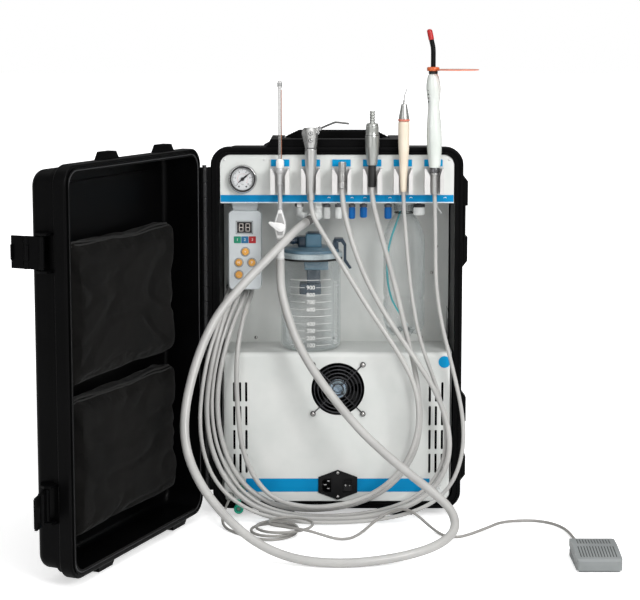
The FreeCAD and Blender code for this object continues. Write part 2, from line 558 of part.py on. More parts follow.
# ---------------------------------------------------------------- fittings on the panels
def gauge_body():
    bezel = rod(GAUGE_R, (GAUGE.x, PANEL_FACE, GAUGE.z), (GAUGE.x, -104, GAUGE.z))
    drum = rod(GAUGE_R - 2, (GAUGE.x, PANEL_FACE - 1, GAUGE.z), (GAUGE.x, -62, GAUGE.z))
    stem = rod(6, (GAUGE.x, -70, GAUGE.z), (GAUGE.x, -48, GAUGE.z))
    dial = rod(18.6, (GAUGE.x, -105, GAUGE.z), (GAUGE.x, -97.5, GAUGE.z))
    spindle = rod(1.2, (GAUGE.x, -97, GAUGE.z), (GAUGE.x, -100.6, GAUGE.z))
    return join(join(bezel, drum, stem).cut(dial), spindle)


def gauge_needle():
    hub = rod(2.6, (0, -99.9, 0), (0, -98.7, 0))
    hand = prism([(-6, -99.6, -1), (-6, -99.6, 1), (14.5, -99.6, 0.35), (14.5, -99.6, -0.35)], V(0, 0.7, 0))
    needle = join(hub, hand).cut(rod(1.26, (0, -102, 0), (0, -96, 0)))
    needle.rotate(V(0, 0, 0), Y_AXIS, -40)
    needle.translate(V(GAUGE.x, 0, GAUGE.z))
    return needle


def control_box():
    x0, x1, y0, y1, z0, z1 = BOX
    case = plate(x0, x1, z0, z1, y0, y1, 8)
    case = case.makeFillet(2.5, [e for e in case.Edges
                                 if abs(e.BoundBox.YMin - y0) < 0.01 and e.BoundBox.YLength < 0.01])
    neck = prism([(-170, -66, z1 - 2), (-133, -66, z1 - 2), (-129, -66, FASCIA_BOTTOM),
                  (-174, -66, FASCIA_BOTTOM)], V(0, 18, 0))
    window = box(-164.6, -139.9, y0 - 1, y0 + 1.6, 472.4, 490.8)
    strip = box(-170.2, -133.2, y0 - 1, y0 + 0.6, 455.2, 467.1)
    wells = [rod(KEY_R + 0.25, (x, y0 - 1, z), (x, y0 + 3, z)) for x, z in KEYS.values()]
    return join(case, neck).cut([window, strip] + wells)


def key(name):
    x, z = KEYS[name]
    top = BOX[2] - 0.9
    return rod(KEY_R, (x, top, z), (x, BOX[2] + 2.2, z))


def knob(name):
    x, radius, length = KNOBS[name]
    top = FASCIA_BOTTOM - 4
    stem = rod(3.1, (x, KNOB_Y, top - 1), (x, KNOB_Y, FASCIA_BOTTOM + 10))
    body = taper(radius * 0.93, radius, (x, KNOB_Y, top), (x, KNOB_Y, top - length))
    collar = rod(radius + 0.8, (x, KNOB_Y, top), (x, KNOB_Y, top - 4))
    flats = [box(x - 0.6, x + 0.6, KNOB_Y - radius - 2, KNOB_Y - radius + 0.7, top - length - 1, top - 6)]
    return join(stem, body, collar).cut(flats)


def fan_frame():
    half = FAN_SIDE / 2
    block = plate(FAN.x - half, FAN.x + half, FAN.z - half, FAN.z + half, PANEL_FACE + SHEET, -66.5, 4)
    duct = rod(43.5, (FAN.x, -100, FAN.z), (FAN.x, -60, FAN.z))
    motor = rod(17, (FAN.x, -70.5, FAN.z), (FAN.x, -67, FAN.z))
    struts = []
    for turn in (45, 135, 225, 315):
        strut = box(0, 46, -70, -67, -2, 2)
        strut.rotate(V(0, 0, 0), Y_AXIS, turn)
        strut.translate(V(FAN.x, 0, FAN.z))
        struts.append(strut)
    struts = join(motor, *struts).common(rod(45, (FAN.x, -72, FAN.z), (FAN.x, -66, FAN.z)))
    shaft = rod(2, (FAN.x, -70, FAN.z), (FAN.x, -76, FAN.z))
    return join(block.cut(duct), struts, shaft)


def fan_impeller():
    hub = rod(19, (0, -88.5, 0), (0, -73, 0))
    blades = []
    for index in range(7):
        blade = prism([(15, -87, -7), (15, -85.4, -7), (15, -74.5, 7), (15, -76.1, 7)], V(25.5, 0, 0))
        blade.rotate(V(0, 0, 0), Y_AXIS, index * 360 / 7)
        blades.append(blade)
    wheel = join(hub, *blades).common(rod(41.5, (0, -90, 0), (0, -72, 0)))
    wheel = wheel.cut(rod(2.06, (0, -77, 0), (0, -72, 0)))
    wheel.translate(V(FAN.x, 0, FAN.z))
    return wheel


def fan_guard():
    y, wire = -95.6, 0.9
    reach = FAN_HOLES / 2 * math.sqrt(2)
    parts = []
    for radius in (9, 15, 21, 27, 33, 39):
        ring = rod(radius + wire, (0, y - wire, 0), (0, y + wire, 0))
        parts.append(ring.cut(rod(radius - wire, (0, y - 2, 0), (0, y + 2, 0))))
    for turn in (45, 135, 225, 315):
        arm = box(7, reach - 2.5, y + 0.2, y + 1.8, -wire, wire)
        arm.rotate(V(0, 0, 0), Y_AXIS, turn)
        away = V(math.cos(math.radians(turn)), 0, -math.sin(math.radians(turn))) * reach
        parts += [arm, rod(4.2, (away.x, y - 1.6, away.z), (away.x, PANEL_FACE, away.z))]
    guard = join(parts[0], *parts[1:])
    guard.translate(V(FAN.x, 0, FAN.z))
    return guard


ROCKER = V(18.2, -94.2, 52.2)
SOCKET = (-24.2, -9.4, 40.3, 63.3)


def power_inlet():
    x, z = INLET.x, INLET.z
    outline = [(x - 32, z - 13), (x, z - 25), (x + 32, z - 13), (x + 32, z + 13), (x, z + 25), (x - 32, z + 13)]
    flange = prism([(px, PANEL_FACE - 2.2, pz) for px, pz in outline], V(0, 2.2, 0))
    body = box(x - 26.8, x + 26, PANEL_FACE - 1, -52, z - 14.5, z + 14.5)
    left, right, low, high = SOCKET
    socket = prism([(left + 4, -98, low), (right, -98, low), (right, -98, high), (left + 4, -98, high),
                    (left, -98, high - 4), (left, -98, low + 4)], V(0, 26, 0))
    opening = box(ROCKER.x - 7.4, ROCKER.x + 7.4, -98, -80, ROCKER.z - 10.6, ROCKER.z + 10.6)
    axle = rod(1.3, (ROCKER.x - 8, ROCKER.y + 3, ROCKER.z), (ROCKER.x + 8, ROCKER.y + 3, ROCKER.z))
    inlet = join(flange, body).cut([socket, opening])
    blades = [box(px - 2, px + 2, -88, -71, pz - 1, pz + 1) for px, pz in ((-20, 51.8), (-14, 45.3), (-14, 58.3))]
    return join(inlet, axle, *blades)


def rocker_switch():
    x, y, z = ROCKER.x, ROCKER.y, ROCKER.z
    points = [(x - 6.9, y - 2.6, z - 9.6), (x - 6.9, y - 0.2, z), (x - 6.9, y - 2.6, z + 9.6),
              (x - 6.9, y + 3.4, z + 9.6), (x - 6.9, y + 6.4, z + 3), (x - 6.9, y + 6.4, z - 3),
              (x - 6.9, y + 3.4, z - 9.6)]
    rocker = prism(points, V(13.8, 0, 0))
    rocker = rocker.cut(rod(1.36, (x - 9, y + 3, z), (x + 9, y + 3, z)))
    rocker.rotate(V(x, y + 3, z), X_AXIS, -7)
    return rocker


# ---------------------------------------------------------------- vessels
def suction_jar():
    x, y, z0 = JAR.x, JAR.y, JAR.z
    top = z0 + JAR_TALL
    outer = [(0, z0), (JAR_R - 6, z0), (JAR_R, z0 + 6), (JAR_R, top - 12), (JAR_R + 2, top - 9),
             (JAR_R + 2, top)]
    inner = [(0, z0 + 3), (JAR_R - 7, z0 + 3), (JAR_R - 3, z0 + 7), (JAR_R - 3, top)]
    return hollow_turned(outer, inner, x, y)


def jar_lid():
    x, y = JAR.x, JAR.y
    top = JAR.z + JAR_TALL
    cover = turned([(JAR_R - 4, top), (JAR_R + 2.5, top), (JAR_R + 2.5, top + 4), (JAR_R - 4, top + 5),
                    (JAR_R - 6, top + 15), (JAR_R - 12, top + 17)], x, y)
    cage = turned([(18, top - 20), (22, top - 20), (22, top + 1)], x, y)
    float_block = turned([(18, top - 63), (18, top - 32), (7, top - 32), (7, top - 11)], x, y)
    block = plate(x - 21, x + 18, top + 16, top + 39, y - 17, y + 17, 4)
    port = rod(6.5, (x - 14, y, top + 27), (x - 34, y - 8, top + 27))
    ears = [box(x + 36, x + 46, y + dy - 2, y + dy + 2, top + 3, top + 27) for dy in (-12, 12)]
    axle = rod(2, (x + 41, y - 11, top + 23), (x + 41, y + 11, top + 23))
    return join(cover, cage, float_block, block, port, axle, *ears)


CLAMP = V(JAR.x + 41, JAR.y, JAR.z + JAR_TALL + 23)


def jar_clamp():
    """Over-centre lever hooked down over the jar's flange."""
    x, z = CLAMP.x, CLAMP.z
    barrel = rod(5, (x, JAR.y - 9.5, z), (x, JAR.y + 9.5, z))
    top = prism([(x - 4, JAR.y - 9, z + 1), (x - 2, JAR.y - 9, z + 8), (x + 12, JAR.y - 9, z + 8),
                 (x + 18, JAR.y - 9, z - 2), (x + 18, JAR.y - 9, z - 28), (x + 27, JAR.y - 9, z - 42),
                 (x + 23, JAR.y - 9, z - 43), (x + 13.5, JAR.y - 9, z - 30), (x + 13.5, JAR.y - 9, z - 4),
                 (x + 9, JAR.y - 9, z + 2)], V(0, 18, 0))
    clamp = join(barrel, top)
    return clamp.cut(rod(2.06, (x, JAR.y - 20, z), (x, JAR.y + 20, z)))


def bottle_profile(shrink):
    z0, r = BOTTLE.z, BOTTLE_R - shrink
    profile = [(0, z0 + 6 + shrink), (14, z0 + 2 + shrink), (24, z0 + shrink), (r - 3, z0 + 8), (r, z0 + 20),
               (r, z0 + 60), (r - 2, z0 + 64), (r, z0 + 68), (r, z0 + 165), (r - 4, z0 + 182),
               (r - 14, z0 + 198), (13 - shrink, z0 + 206), (13 - shrink, z0 + 226)]
    return profile


def water_bottle():
    return hollow_turned(bottle_profile(0), bottle_profile(1), BOTTLE.x, BOTTLE.y)


def bottle_cap():
    """Screw cap hung from the manifold, and the feed tube that reaches down the bottle."""
    x, y, top = BOTTLE.x, BOTTLE.y, FASCIA_BOTTOM
    neck_top = BOTTLE.z + 226
    cap = join(rod(17, (x, y, neck_top - 14), (x, y, top)), rod(19, (x, y, neck_top - 3), (x, y, top)))
    cap = cap.cut(rod(13.3, (x, y, neck_top - 15), (x, y, neck_top + 0.3)))
    bends = ((108.5, 520.3), (108, 512), (103, 492), (93, 466), (85.5, 436), (84, 402), (88, 370), (98, 341), (120, 311))
    return [cap, tube("feed_tube", 3.2, [(px, y, pz) for px, pz in bends])]


# ---------------------------------------------------------------- hand instruments
def ejector_body():
    x = TOOL_X[0]
    body = turned([(6.6, 434), (6.6, 456), (5.2, 458), (5.2, 474), (7, 476), (7, 484), (8.2, 492), (7.6, 502),
                   (4.3, 513), (4.3, 563), (6.1, 564), (6.1, 583), (6.5, 583.5), (6.5, 596), (3.2, 598)],
                  x, TOOL_Y)
    return join(body, rod(1.5, (x, TOOL_Y - 4, EJECTOR_TAP.z), (x, EJECTOR_TAP.y - 5.4, EJECTOR_TAP.z)))


def ejector_tip():
    x = TOOL_X[0]
    return turned([(2.7, 598), (2.7, 712), (3.8, 714), (3.8, 721), (2.7, 724)], x, TOOL_Y)


EJECTOR_TAP = V(TOOL_X[0], TOOL_Y - 8.6, 493.0)


def ejector_lever():
    x, y, z = EJECTOR_TAP.x, EJECTOR_TAP.y, EJECTOR_TAP.z
    hub = rod(5.6, (x, y, z), (x, y - 5, z))
    wing = prism([(x + 6.5, y - 0.5, z + 3.5), (x + 6.5, y - 0.5, z - 5), (x - 12, y - 0.5, z + 1),
                  (x - 20, y - 0.5, z + 5), (x - 19.5, y - 0.5, z + 9), (x - 10, y - 0.5, z + 7)], V(0, -4, 0))
    return join(hub, wing).cut(rod(1.56, (x, y + 1, z), (x, y - 7, z)))


def syringe_body():
    x = TOOL_X[1]
    body = turned([(6, 531), (7.4, 560), (9.2, 596), (9.6, 616), (11.6, 636), (11.6, 644), (8, 648)], x, TOOL_Y)
    snout = rod(4.2, (x, TOOL_Y, 640), (x + 12, TOOL_Y, 645.3))
    wells = [rod(3.7, (x, TOOL_Y - 16, z), (x, TOOL_Y - 6, z)) for z in (639, 628)]
    return join(body, snout).cut(wells + [rod(1.26, (x + 1, TOOL_Y, 640.4), (x + 14.5, TOOL_Y, 646.4))])


NOZZLE_START = V(TOOL_X[1] + 1.2, TOOL_Y, 640.5)
NOZZLE_AXIS = V(9.5, 0, 4.2)


def syringe_nozzle():
    away = V(NOZZLE_AXIS.x, NOZZLE_AXIS.y, NOZZLE_AXIS.z).normalize()
    straight = NOZZLE_START + away * 42
    end = straight + V(22, 0, -3)
    tube_part = rod(1.2, tuple(NOZZLE_START), tuple(straight))
    bend = Part.makeSphere(1.2, straight)
    tip = rod(1.2, tuple(straight), tuple(end))
    nut_from, nut_to = NOZZLE_START + away * 12.6, NOZZLE_START + away * 17
    return join(tube_part, bend, tip, rod(3.6, tuple(nut_from), tuple(nut_to)))


def syringe_button(z):
    x = TOOL_X[1]
    return join(rod(3.6, (x, TOOL_Y - 14.4, z), (x, TOOL_Y - 8.6, z)))


def turbine_coupling():
    x = TOOL_X[2]
    return turned([(5.0, 549), (6.2, 551), (6.2, 566), (5.6, 567), (5.6, 570), (6.2, 571), (6.2, 592),
                   (3, 593), (3, 600)], x, TOOL_Y)


def air_motor():
    x = TOOL_X[3]
    profile = [(5, 552), (6.3, 554), (6.3, 587), (7.4, 587.5), (11.4, 617), (11.5, 634), (10.2, 640), (10, 652),
               (9, 655), (4.4, 655.5)]
    for index in range(4):
        z = 657 + 4.4 * index
        profile += [(4.4, z), (3.8, z + 0.6), (3.8, z + 2.2), (4.4, z + 2.8)]
    profile.append((4.0, 675))
    return turned(profile, x, TOOL_Y)


def scaler_handpiece():
    x = TOOL_X[4]
    body = turned([(4.6, 544), (5.6, 548), (7.0, 588), (9.2, 625), (9.4, 659), (9.6, 660), (9.6, 662),
                   (8.6, 663), (4.2, 684), (1.7, 685), (1.7, 691), (1.1, 692)], x, TOOL_Y)
    tip = [taper(1.1, 0.8, (x, TOOL_Y, 691), (x + 1, TOOL_Y, 700)),
           taper(0.8, 0.4, (x + 1, TOOL_Y, 699.6), (x + 5, TOOL_Y, 708))]
    return join(body, *tip)


LIGHT_X = TOOL_X[5]


def curing_light():
    body = turned([(4.6, 539), (5.8, 541), (5.8, 575), (8, 577), (8.2, 584), (9.6, 586), (12, 612), (12.6, 640),
                   (12.0, 660), (9.4, 686), (11.5, 700), (12.6, 714), (11, 728), (7.6, 736)], LIGHT_X, TOOL_Y)
    return body.cut(rod(3.06, (LIGHT_X, TOOL_Y, 724), (LIGHT_X, TOOL_Y, 737)))


def curing_light_guide():
    """Light rod with its paddle shield, which turns as one on the body's nose."""
    x, y = LIGHT_X, TOOL_Y
    collar = rod(8.4, (x, y, 736.4), (x, y, 741.5))
    shaft = rod(4.0, (x, y, 740), (x, y, 776))
    bend = Part.makeSphere(4.0, V(x, y, 776))
    head = taper(4.0, 4.8, (x, y, 776), (x - 5.5, y, 801))
    paddle = join(rod(36, (x + 34, y, 740), (x + 34, y, 742)), box(x, x + 30, y - 8, y + 8, 740, 742))
    plug = rod(3.0, (x, y, 726), (x, y, 737))
    return join(collar, shaft, bend, head, paddle, plug)


# ---------------------------------------------------------------- hose ends and foot control
def hose_fittings():
    elbow = join(rod(8, (-30, -62, FASCIA_BOTTOM), (-30, -62, 502)), Part.makeSphere(8, V(-30, -62, 502)),
                 rod(8, (-30, -62, 502), (-43, -78, 496)))
    spur = join(rod(5.5, (-62, -62, FASCIA_BOTTOM), (-62, -62, 503)), Part.makeSphere(5.5, V(-62, -62, 503)),
                rod(5.5, (-62, -62, 503), (-52, -68, 500)))
    glands = []
    for x in (-182, -172, -162, -152, -142):
        gland = join(rod(4.7, (x, RECESS_BACK, 372), (x, -2, 372)), rod(4.9, (x, RECESS_BACK, 372), (x, 6, 372)))
        glands.append(gland)
    quick = join(rod(8, (-158, PANEL_FACE, 49), (-158, -99, 49)), rod(5.5, (-158, PANEL_FACE, 49), (-158, -104, 49)))
    drain = join(rod(4.5, (-163, PANEL_FACE, 31), (-163, -101, 31)), rod(3.5, (-163, -99.5, 31), (-163, -100.5, 15)),
                 rod(7, (-163, -97, 14), (-163, -105, 14)))
    drain = drain.cut(rod(4, (-163, -99, 14), (-163, -107, 14)))
    plug = join(rod(5, (170, PANEL_FACE, 43), (170, -103, 43)), rod(7, (170, PANEL_FACE, 43), (170, -97, 43)))
    relief = taper(5, 3.2, (-178, PANEL_FACE, 33), (-178, -108.5, 33))
    return [elbow, spur, quick, drain, plug, relief] + bottle_cap() + glands


PEDAL_X = (PEDAL.x - PEDAL_SIZE[0] / 2, PEDAL.x + PEDAL_SIZE[0] / 2)
PEDAL_Y = (PEDAL.y - PEDAL_SIZE[1] / 2, PEDAL.y + PEDAL_SIZE[1] / 2)
PEDAL_PIVOT = V(0, PEDAL_Y[0] + 10, 12.0)


def pedal_base():
    """Wedge under the treadle, with the posts and the pin that the treadle tips on."""
    (x0, x1), (y0, y1) = PEDAL_X, PEDAL_Y
    floor_plate = box(x0 + 3.5, x1 - 3.5, y0 + 4, y1, 0, 2.5)
    wedge = prism([(x0 + 0.8, y0 + 14, 0), (x0 + 0.8, y1, 0), (x0 + 0.8, y1, 10.5), (x0 + 0.8, y0 + 14, 2.5)],
                  V(PEDAL_SIZE[0] - 1.6, 0, 0))
    wedge = wedge.makeFillet(5, edges_along(wedge, Z_AXIS, lambda m: m.y > y1 - 1))
    posts = [box(px - 2.5, px + 2.5, PEDAL_PIVOT.y - 4, PEDAL_PIVOT.y + 4, 1, 14.5) for px in (x0 + 6, x1 - 6)]
    pin = rod(2, (x0 - 0.6, PEDAL_PIVOT.y, PEDAL_PIVOT.z), (x1 + 0.6, PEDAL_PIVOT.y, PEDAL_PIVOT.z))
    switch = box(PEDAL.x - 12, PEDAL.x + 12, PEDAL.y - 8, PEDAL.y + 22, 2, 16)
    relief = taper(3.8, 2.9, (373, y1 - 1, 7), (373, y1 + 8, 7))
    return join(floor_plate, wedge, pin, switch, relief, *posts)


def treadle_profile(x, inset):
    (y0, y1) = PEDAL_Y
    top = 28 - inset
    return [(x, y0 + inset, 3), (x, y0 + inset, 17 - inset), (x, y0 + 4 + inset, 20.5 - inset),
            (x, PEDAL.y + 6, top - 0.5), (x, y1 - 12, top), (x, y1 - inset, top - 2.5),
            (x, y1 - inset, 17), (x, y0 + 14, 5), (x, y0 + 10, 3)]


def pedal_treadle():
    """Ribbed cover, tipping on the pin near its front edge."""
    (x0, x1), (y0, y1) = PEDAL_X, PEDAL_Y
    cover = prism(treadle_profile(x0, 0), V(PEDAL_SIZE[0], 0, 0))
    cover = cover.makeFillet(5, edges_along(cover, Z_AXIS, lambda m: True))
    hollow = [(x, y, z - 9 if z < 17.5 and y > y0 + 3 else z) for x, y, z in treadle_profile(x0 + 2, 2)]
    hollow = [(x, y, min(z, 0) if z <= 3 else z) for x, y, z in hollow]
    cover = cover.cut(prism(hollow, V(PEDAL_SIZE[0] - 4, 0, 0)))
    grooves = []
    for index in range(13):
        x = x0 + 7.5 + index * 4.42
        grooves.append(prism([(x - 0.8, y0 + 10, 20.5), (x - 0.8, y0 + 46, 26.4), (x - 0.8, y0 + 46, 31),
                              (x - 0.8, y0 + 10, 31)], V(1.6, 0, 0)))
        if index < 12:
            grooves.append(box(x + 1.4, x + 3.0, PEDAL.y + 12, PEDAL.y + 32, 27.1, 31))
    bore = rod(2.06, (x0 - 2, PEDAL_PIVOT.y, PEDAL_PIVOT.z), (x1 + 2, PEDAL_PIVOT.y, PEDAL_PIVOT.z))
    return cover.cut(grooves + [bore])


# ---------------------------------------------------------------- inside the case
def compressor():
    base = box(-170, 15, -35, 60, WALL_BOTTOM + WALL, 31)
    motor = rod(38, (-118, 12, 76), (-37, 12, 76))
    parts = [motor]
    for x0, x1 in ((-160, -117), (-38, 5)):
        parts.append(box(x0, x1, -14, 38, 30, 92))
        parts += [box(x0 + 2, x1 - 2, -18, 42, z, z + 3) for z in (95, 101, 107)]
        parts.append(box(x0 + 6, x1 - 6, -10, 34, 90, 116))
    return join(base, *parts)


def air_tank():
    x, y = 118.0, 22.0
    tank = turned([(30, 36), (46, 44), (50, 54), (50, 224), (46, 234), (30, 242)], x, y)
    feet = [box(x + dx - 6, x + dx + 6, y - 30, y + 30, WALL_BOTTOM + WALL, 50) for dx in (-28, 28)]
    valve = rod(7, (x, y, 240), (x, y, 256))
    room = turned([(28, 38.5), (44, 46), (48, 55), (48, 223), (44, 232), (28, 239.5)], x, y)
    return join(tank, valve, *feet).cut([room, rod(2.5, (x, y, 235), (x, y, 257))])


NODES = {
    "case_base": case_base, "case_hinge_pin": hinge_pin, "carry_handle": carry_handle,
    "lid_shell": lid_shell,
    "pocket_upper": lambda: soft_pocket(284, 504), "pocket_lower": lambda: soft_pocket(56, 274),
    "latch_upper_arm": lambda: place_latch(latch_arm(0), 0),
    "latch_upper_lever": lambda: place_latch(latch_lever(0), 0),
    "latch_lower_arm": lambda: place_latch(latch_arm(1), 1),
    "latch_lower_lever": lambda: place_latch(latch_lever(1), 1),
    "fascia_panel": fascia_panel, "recess_back_panel": recess_back_panel, "front_cover": front_cover,
    "panel_screws": panel_screws,
    "instrument_holders": lambda: [instrument_holder(x, tool) for x, tool in zip(HOLDER_X, TOOL_X)],
    "gauge_body": gauge_body, "gauge_needle": gauge_needle, "control_box": control_box,
    "fan_frame": fan_frame, "fan_impeller": fan_impeller, "fan_guard": fan_guard,
    "power_inlet": power_inlet, "rocker_switch": rocker_switch,
    "suction_jar": suction_jar, "jar_lid": jar_lid, "jar_clamp": jar_clamp,
    "water_bottle": water_bottle,
    "ejector_body": lambda: [ejector_body(), ejector_tip()], "ejector_lever": ejector_lever,
    "syringe_body": syringe_body, "syringe_nozzle": syringe_nozzle,
    "syringe_air_button": lambda: syringe_button(639), "syringe_water_button": lambda: syringe_button(628),
    "turbine_coupling": turbine_coupling, "air_motor": air_motor, "scaler_handpiece": scaler_handpiece,
    "curing_light": curing_light, "curing_light_guide": curing_light_guide,
    "hose_fittings": hose_fittings, "pedal_base": pedal_base, "pedal_treadle": pedal_treadle,
    "compressor": compressor, "air_tank": air_tank,
}


def main():
    os.makedirs("parts", exist_ok=True)
    makers = dict(NODES)
    for name in KEYS:
        makers[name] = lambda name=name: key(name)
    for name in KNOBS:
        makers[name] = lambda name=name: knob(name)
    for name, (diameter, points) in HOSES.items():
        makers[name] = lambda name=name, d=diameter, p=points: tube(name, d, p)
    for name, make in makers.items():
        made = make()
        solids = made if isinstance(made, list) else made.Solids
        shape = solids[0] if len(solids) == 1 else Part.makeCompound(solids)
        if not shape.isValid() or (not isinstance(made, list) and len(solids) != 1):
            print("CHECK", name, "valid", shape.isValid(), "solids", len(solids))
        shape.exportStep("parts/" + name + ".step")
    print(len(makers), "nodes written")


main()
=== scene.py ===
import json
import math

import bmesh
import bpy
from mathutils import Matrix, Vector, noise
from mathutils.bvhtree import BVHTree


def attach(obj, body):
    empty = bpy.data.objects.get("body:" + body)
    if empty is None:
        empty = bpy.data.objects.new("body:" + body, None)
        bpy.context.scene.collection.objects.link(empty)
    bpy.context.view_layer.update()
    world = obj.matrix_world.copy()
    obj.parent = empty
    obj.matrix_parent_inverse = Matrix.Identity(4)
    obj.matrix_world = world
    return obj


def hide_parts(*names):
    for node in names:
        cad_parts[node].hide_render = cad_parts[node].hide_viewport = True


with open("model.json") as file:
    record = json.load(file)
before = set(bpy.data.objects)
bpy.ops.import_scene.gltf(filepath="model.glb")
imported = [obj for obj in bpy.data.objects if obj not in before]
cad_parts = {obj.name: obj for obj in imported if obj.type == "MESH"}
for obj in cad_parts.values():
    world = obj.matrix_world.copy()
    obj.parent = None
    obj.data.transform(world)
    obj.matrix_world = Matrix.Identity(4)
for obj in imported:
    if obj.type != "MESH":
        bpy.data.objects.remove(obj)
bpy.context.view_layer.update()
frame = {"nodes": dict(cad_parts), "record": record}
nodes = frame["nodes"]
mm = 0.001
print("frame loaded:", len(nodes), "nodes")


# small helpers

def at(x, y, z):
    return Vector((x * mm, y * mm, z * mm))


def addPiece(name, mesh, finish, body, sharp=35, node=None):
    obj = bpy.data.objects.new(name, mesh)
    bpy.context.collection.objects.link(obj)
    if finish and not mesh.materials:
        mesh.materials.append(paint[finish])
    mesh.shade_smooth()
    mesh.set_sharp_from_angle(angle=math.radians(sharp))
    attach(obj, body)
    if node:
        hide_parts(node)
    return obj


def asMesh(obj):
    # the object as its modifiers or its curve make it
    return bpy.data.meshes.new_from_object(obj.evaluated_get(bpy.context.evaluated_depsgraph_get()))


def meshOf(bm, name):
    mesh = bpy.data.meshes.new(name)
    bm.to_mesh(mesh)
    bm.free()
    return mesh


def meshFrom(name, verts, faces):
    mesh = bpy.data.meshes.new(name)
    mesh.from_pydata([tuple(v) for v in verts], [], faces)
    return mesh


def outward(mesh, merge=0.00001):
    bm = bmesh.new()
    bm.from_mesh(mesh)
    bmesh.ops.remove_doubles(bm, verts=bm.verts, dist=merge)
    bmesh.ops.recalc_face_normals(bm, faces=bm.faces)
    bm.to_mesh(mesh)
    bm.free()
    return mesh


def joined(name, meshes):
    bm = bmesh.new()
    for mesh in meshes:
        bm.from_mesh(mesh)
    return meshOf(bm, name)


def turned(name, profile, centre, axis="z", segments=48):
    # a closed lathe: profile is (radius, height) in mm, poles where the radius is 0
    verts, faces, rings = [], [], []
    for radius, height in profile:
        if radius < 1e-6:
            rings.append([len(verts)])
            verts.append((0, 0, height))
            continue
        rings.append(list(range(len(verts), len(verts) + segments)))
        for i in range(segments):
            turn = 2 * math.pi * i / segments
            verts.append((radius * math.cos(turn), radius * math.sin(turn), height))
    for low, high in zip(rings, rings[1:]):
        for i in range(segments):
            j = (i + 1) % segments
            if len(low) == 1:
                faces.append((low[0], high[j], high[i]))
            elif len(high) == 1:
                faces.append((low[i], low[j], high[0]))
            else:
                faces.append((low[i], low[j], high[j], high[i]))
    turns = {"z": lambda v: v, "y": lambda v: (v[0], v[2], -v[1]), "x": lambda v: (v[2], v[0], v[1])}
    verts = [Vector(turns[axis](v)) * mm + at(*centre) for v in verts]
    return outward(meshFrom(name, verts, faces))


def roundedBlock(name, low, high, radius, segments=3):
    bm = bmesh.new()
    bmesh.ops.create_cube(bm, size=1)
    low, high = at(*low), at(*high)
    bmesh.ops.scale(bm, vec=high - low, verts=bm.verts)
    bmesh.ops.translate(bm, vec=(low + high) / 2, verts=bm.verts)
    bmesh.ops.bevel(bm, geom=bm.edges[:], offset=radius * mm, segments=segments, profile=0.5,
                    affect="EDGES", clamp_overlap=True)
    return meshOf(bm, name)


def roundedOutline(x0, x1, z0, z1, radius, steps=6):
    points = []
    for cx, cz, start in ((x1, z1, 0), (x0, z1, 90), (x0, z0, 180), (x1, z0, 270)):
        sx, sz = (-1 if cx == x1 else 1), (-1 if cz == z1 else 1)
        for i in range(steps + 1):
            turn = math.radians(start + 90 * i / steps)
            points.append((cx + sx * radius + radius * math.cos(turn),
                           cz + sz * radius + radius * math.sin(turn)))
    return points


def plateMesh(name, outline, y0, y1):
    # flat plate with its face towards -Y, outline in (x, z)
    count = len(outline)
    verts = [at(x, y, z) for y in (y0, y1) for x, z in outline]
    faces = [tuple(range(count)), tuple(reversed(range(count, 2 * count)))]
    faces += [(i, (i + 1) % count, count + (i + 1) % count, count + i) for i in range(count)]
    return outward(meshFrom(name, verts, faces))


def tubeMesh(name, points, radius, smooth=True, resolution=5):
    curve = bpy.data.curves.new(name, "CURVE")
    curve.dimensions = "3D"
    curve.bevel_depth = radius * mm
    curve.bevel_resolution = resolution
    curve.use_fill_caps = True
    spline = curve.splines.new("NURBS" if smooth else "POLY")
    spline.points.add(len(points) - 1)
    for point, place in zip(spline.points, points):
        point.co = (*at(*place), 1)
    if smooth:
        spline.order_u = 3
        spline.use_endpoint_u = True
        spline.resolution_u = 8
    obj = bpy.data.objects.new(name, curve)
    bpy.context.collection.objects.link(obj)
    mesh = asMesh(obj)
    bpy.data.objects.remove(obj)
    bpy.data.curves.remove(curve)
    mesh.materials.clear()
    return outward(mesh)


def wordMesh(name, text, size, depth=0.1, bold=0.0):
    curve = bpy.data.curves.new(name, "FONT")
    curve.body = text
    curve.size = size * mm
    curve.extrude = depth * mm
    curve.offset = bold * mm
    curve.align_x = "CENTER"
    curve.align_y = "CENTER"
    curve.resolution_u = 3
    obj = bpy.data.objects.new(name, curve)
    bpy.context.collection.objects.link(obj)
    mesh = asMesh(obj)
    bpy.data.objects.remove(obj)
    mesh.materials.clear()
    mesh.transform(Matrix.Rotation(math.radians(90), 4, "X"))
    return mesh


def moved(mesh, x, y, z):
    mesh.transform(Matrix.Translation(at(x, y, z)))
    return mesh


def softened(profile, cut=0.5, steps=3):
    # rounds the corners of a lathe profile
    out = [tuple(profile[0])]
    for before, corner, after in zip(profile, profile[1:], profile[2:]):
        b, c, a = Vector(before), Vector(corner), Vector(after)
        p = c + (b - c).normalized() * min(cut, (b - c).length * 0.45)
        q = c + (a - c).normalized() * min(cut, (a - c).length * 0.45)
        for i in range(steps + 1):
            t = i / steps
            out.append(tuple(p * (1 - t) ** 2 + c * (2 * t * (1 - t)) + q * t * t))
    return out + [tuple(profile[-1])]


def lathe(name, profile, centre, finish, body="unit", axis="z", cut=0.5, segments=48,
          node=None, lean=None):
    mesh = turned(name, softened(profile, cut), centre, axis, segments)
    if lean:
        foot, slope = lean
        for vertex in mesh.vertices:
            vertex.co.x += max(0, vertex.co.z - foot * mm) * slope
    return addPiece(name, mesh, finish, body, node=node)


def softEdges(mesh, bevel, segments=2):
    bm = bmesh.new()
    bm.from_mesh(mesh)
    bmesh.ops.bevel(bm, geom=bm.edges[:], offset=bevel * mm, segments=segments, profile=0.5,
                    affect="EDGES", clamp_overlap=True)
    bm.to_mesh(mesh)
    bm.free()
    return mesh


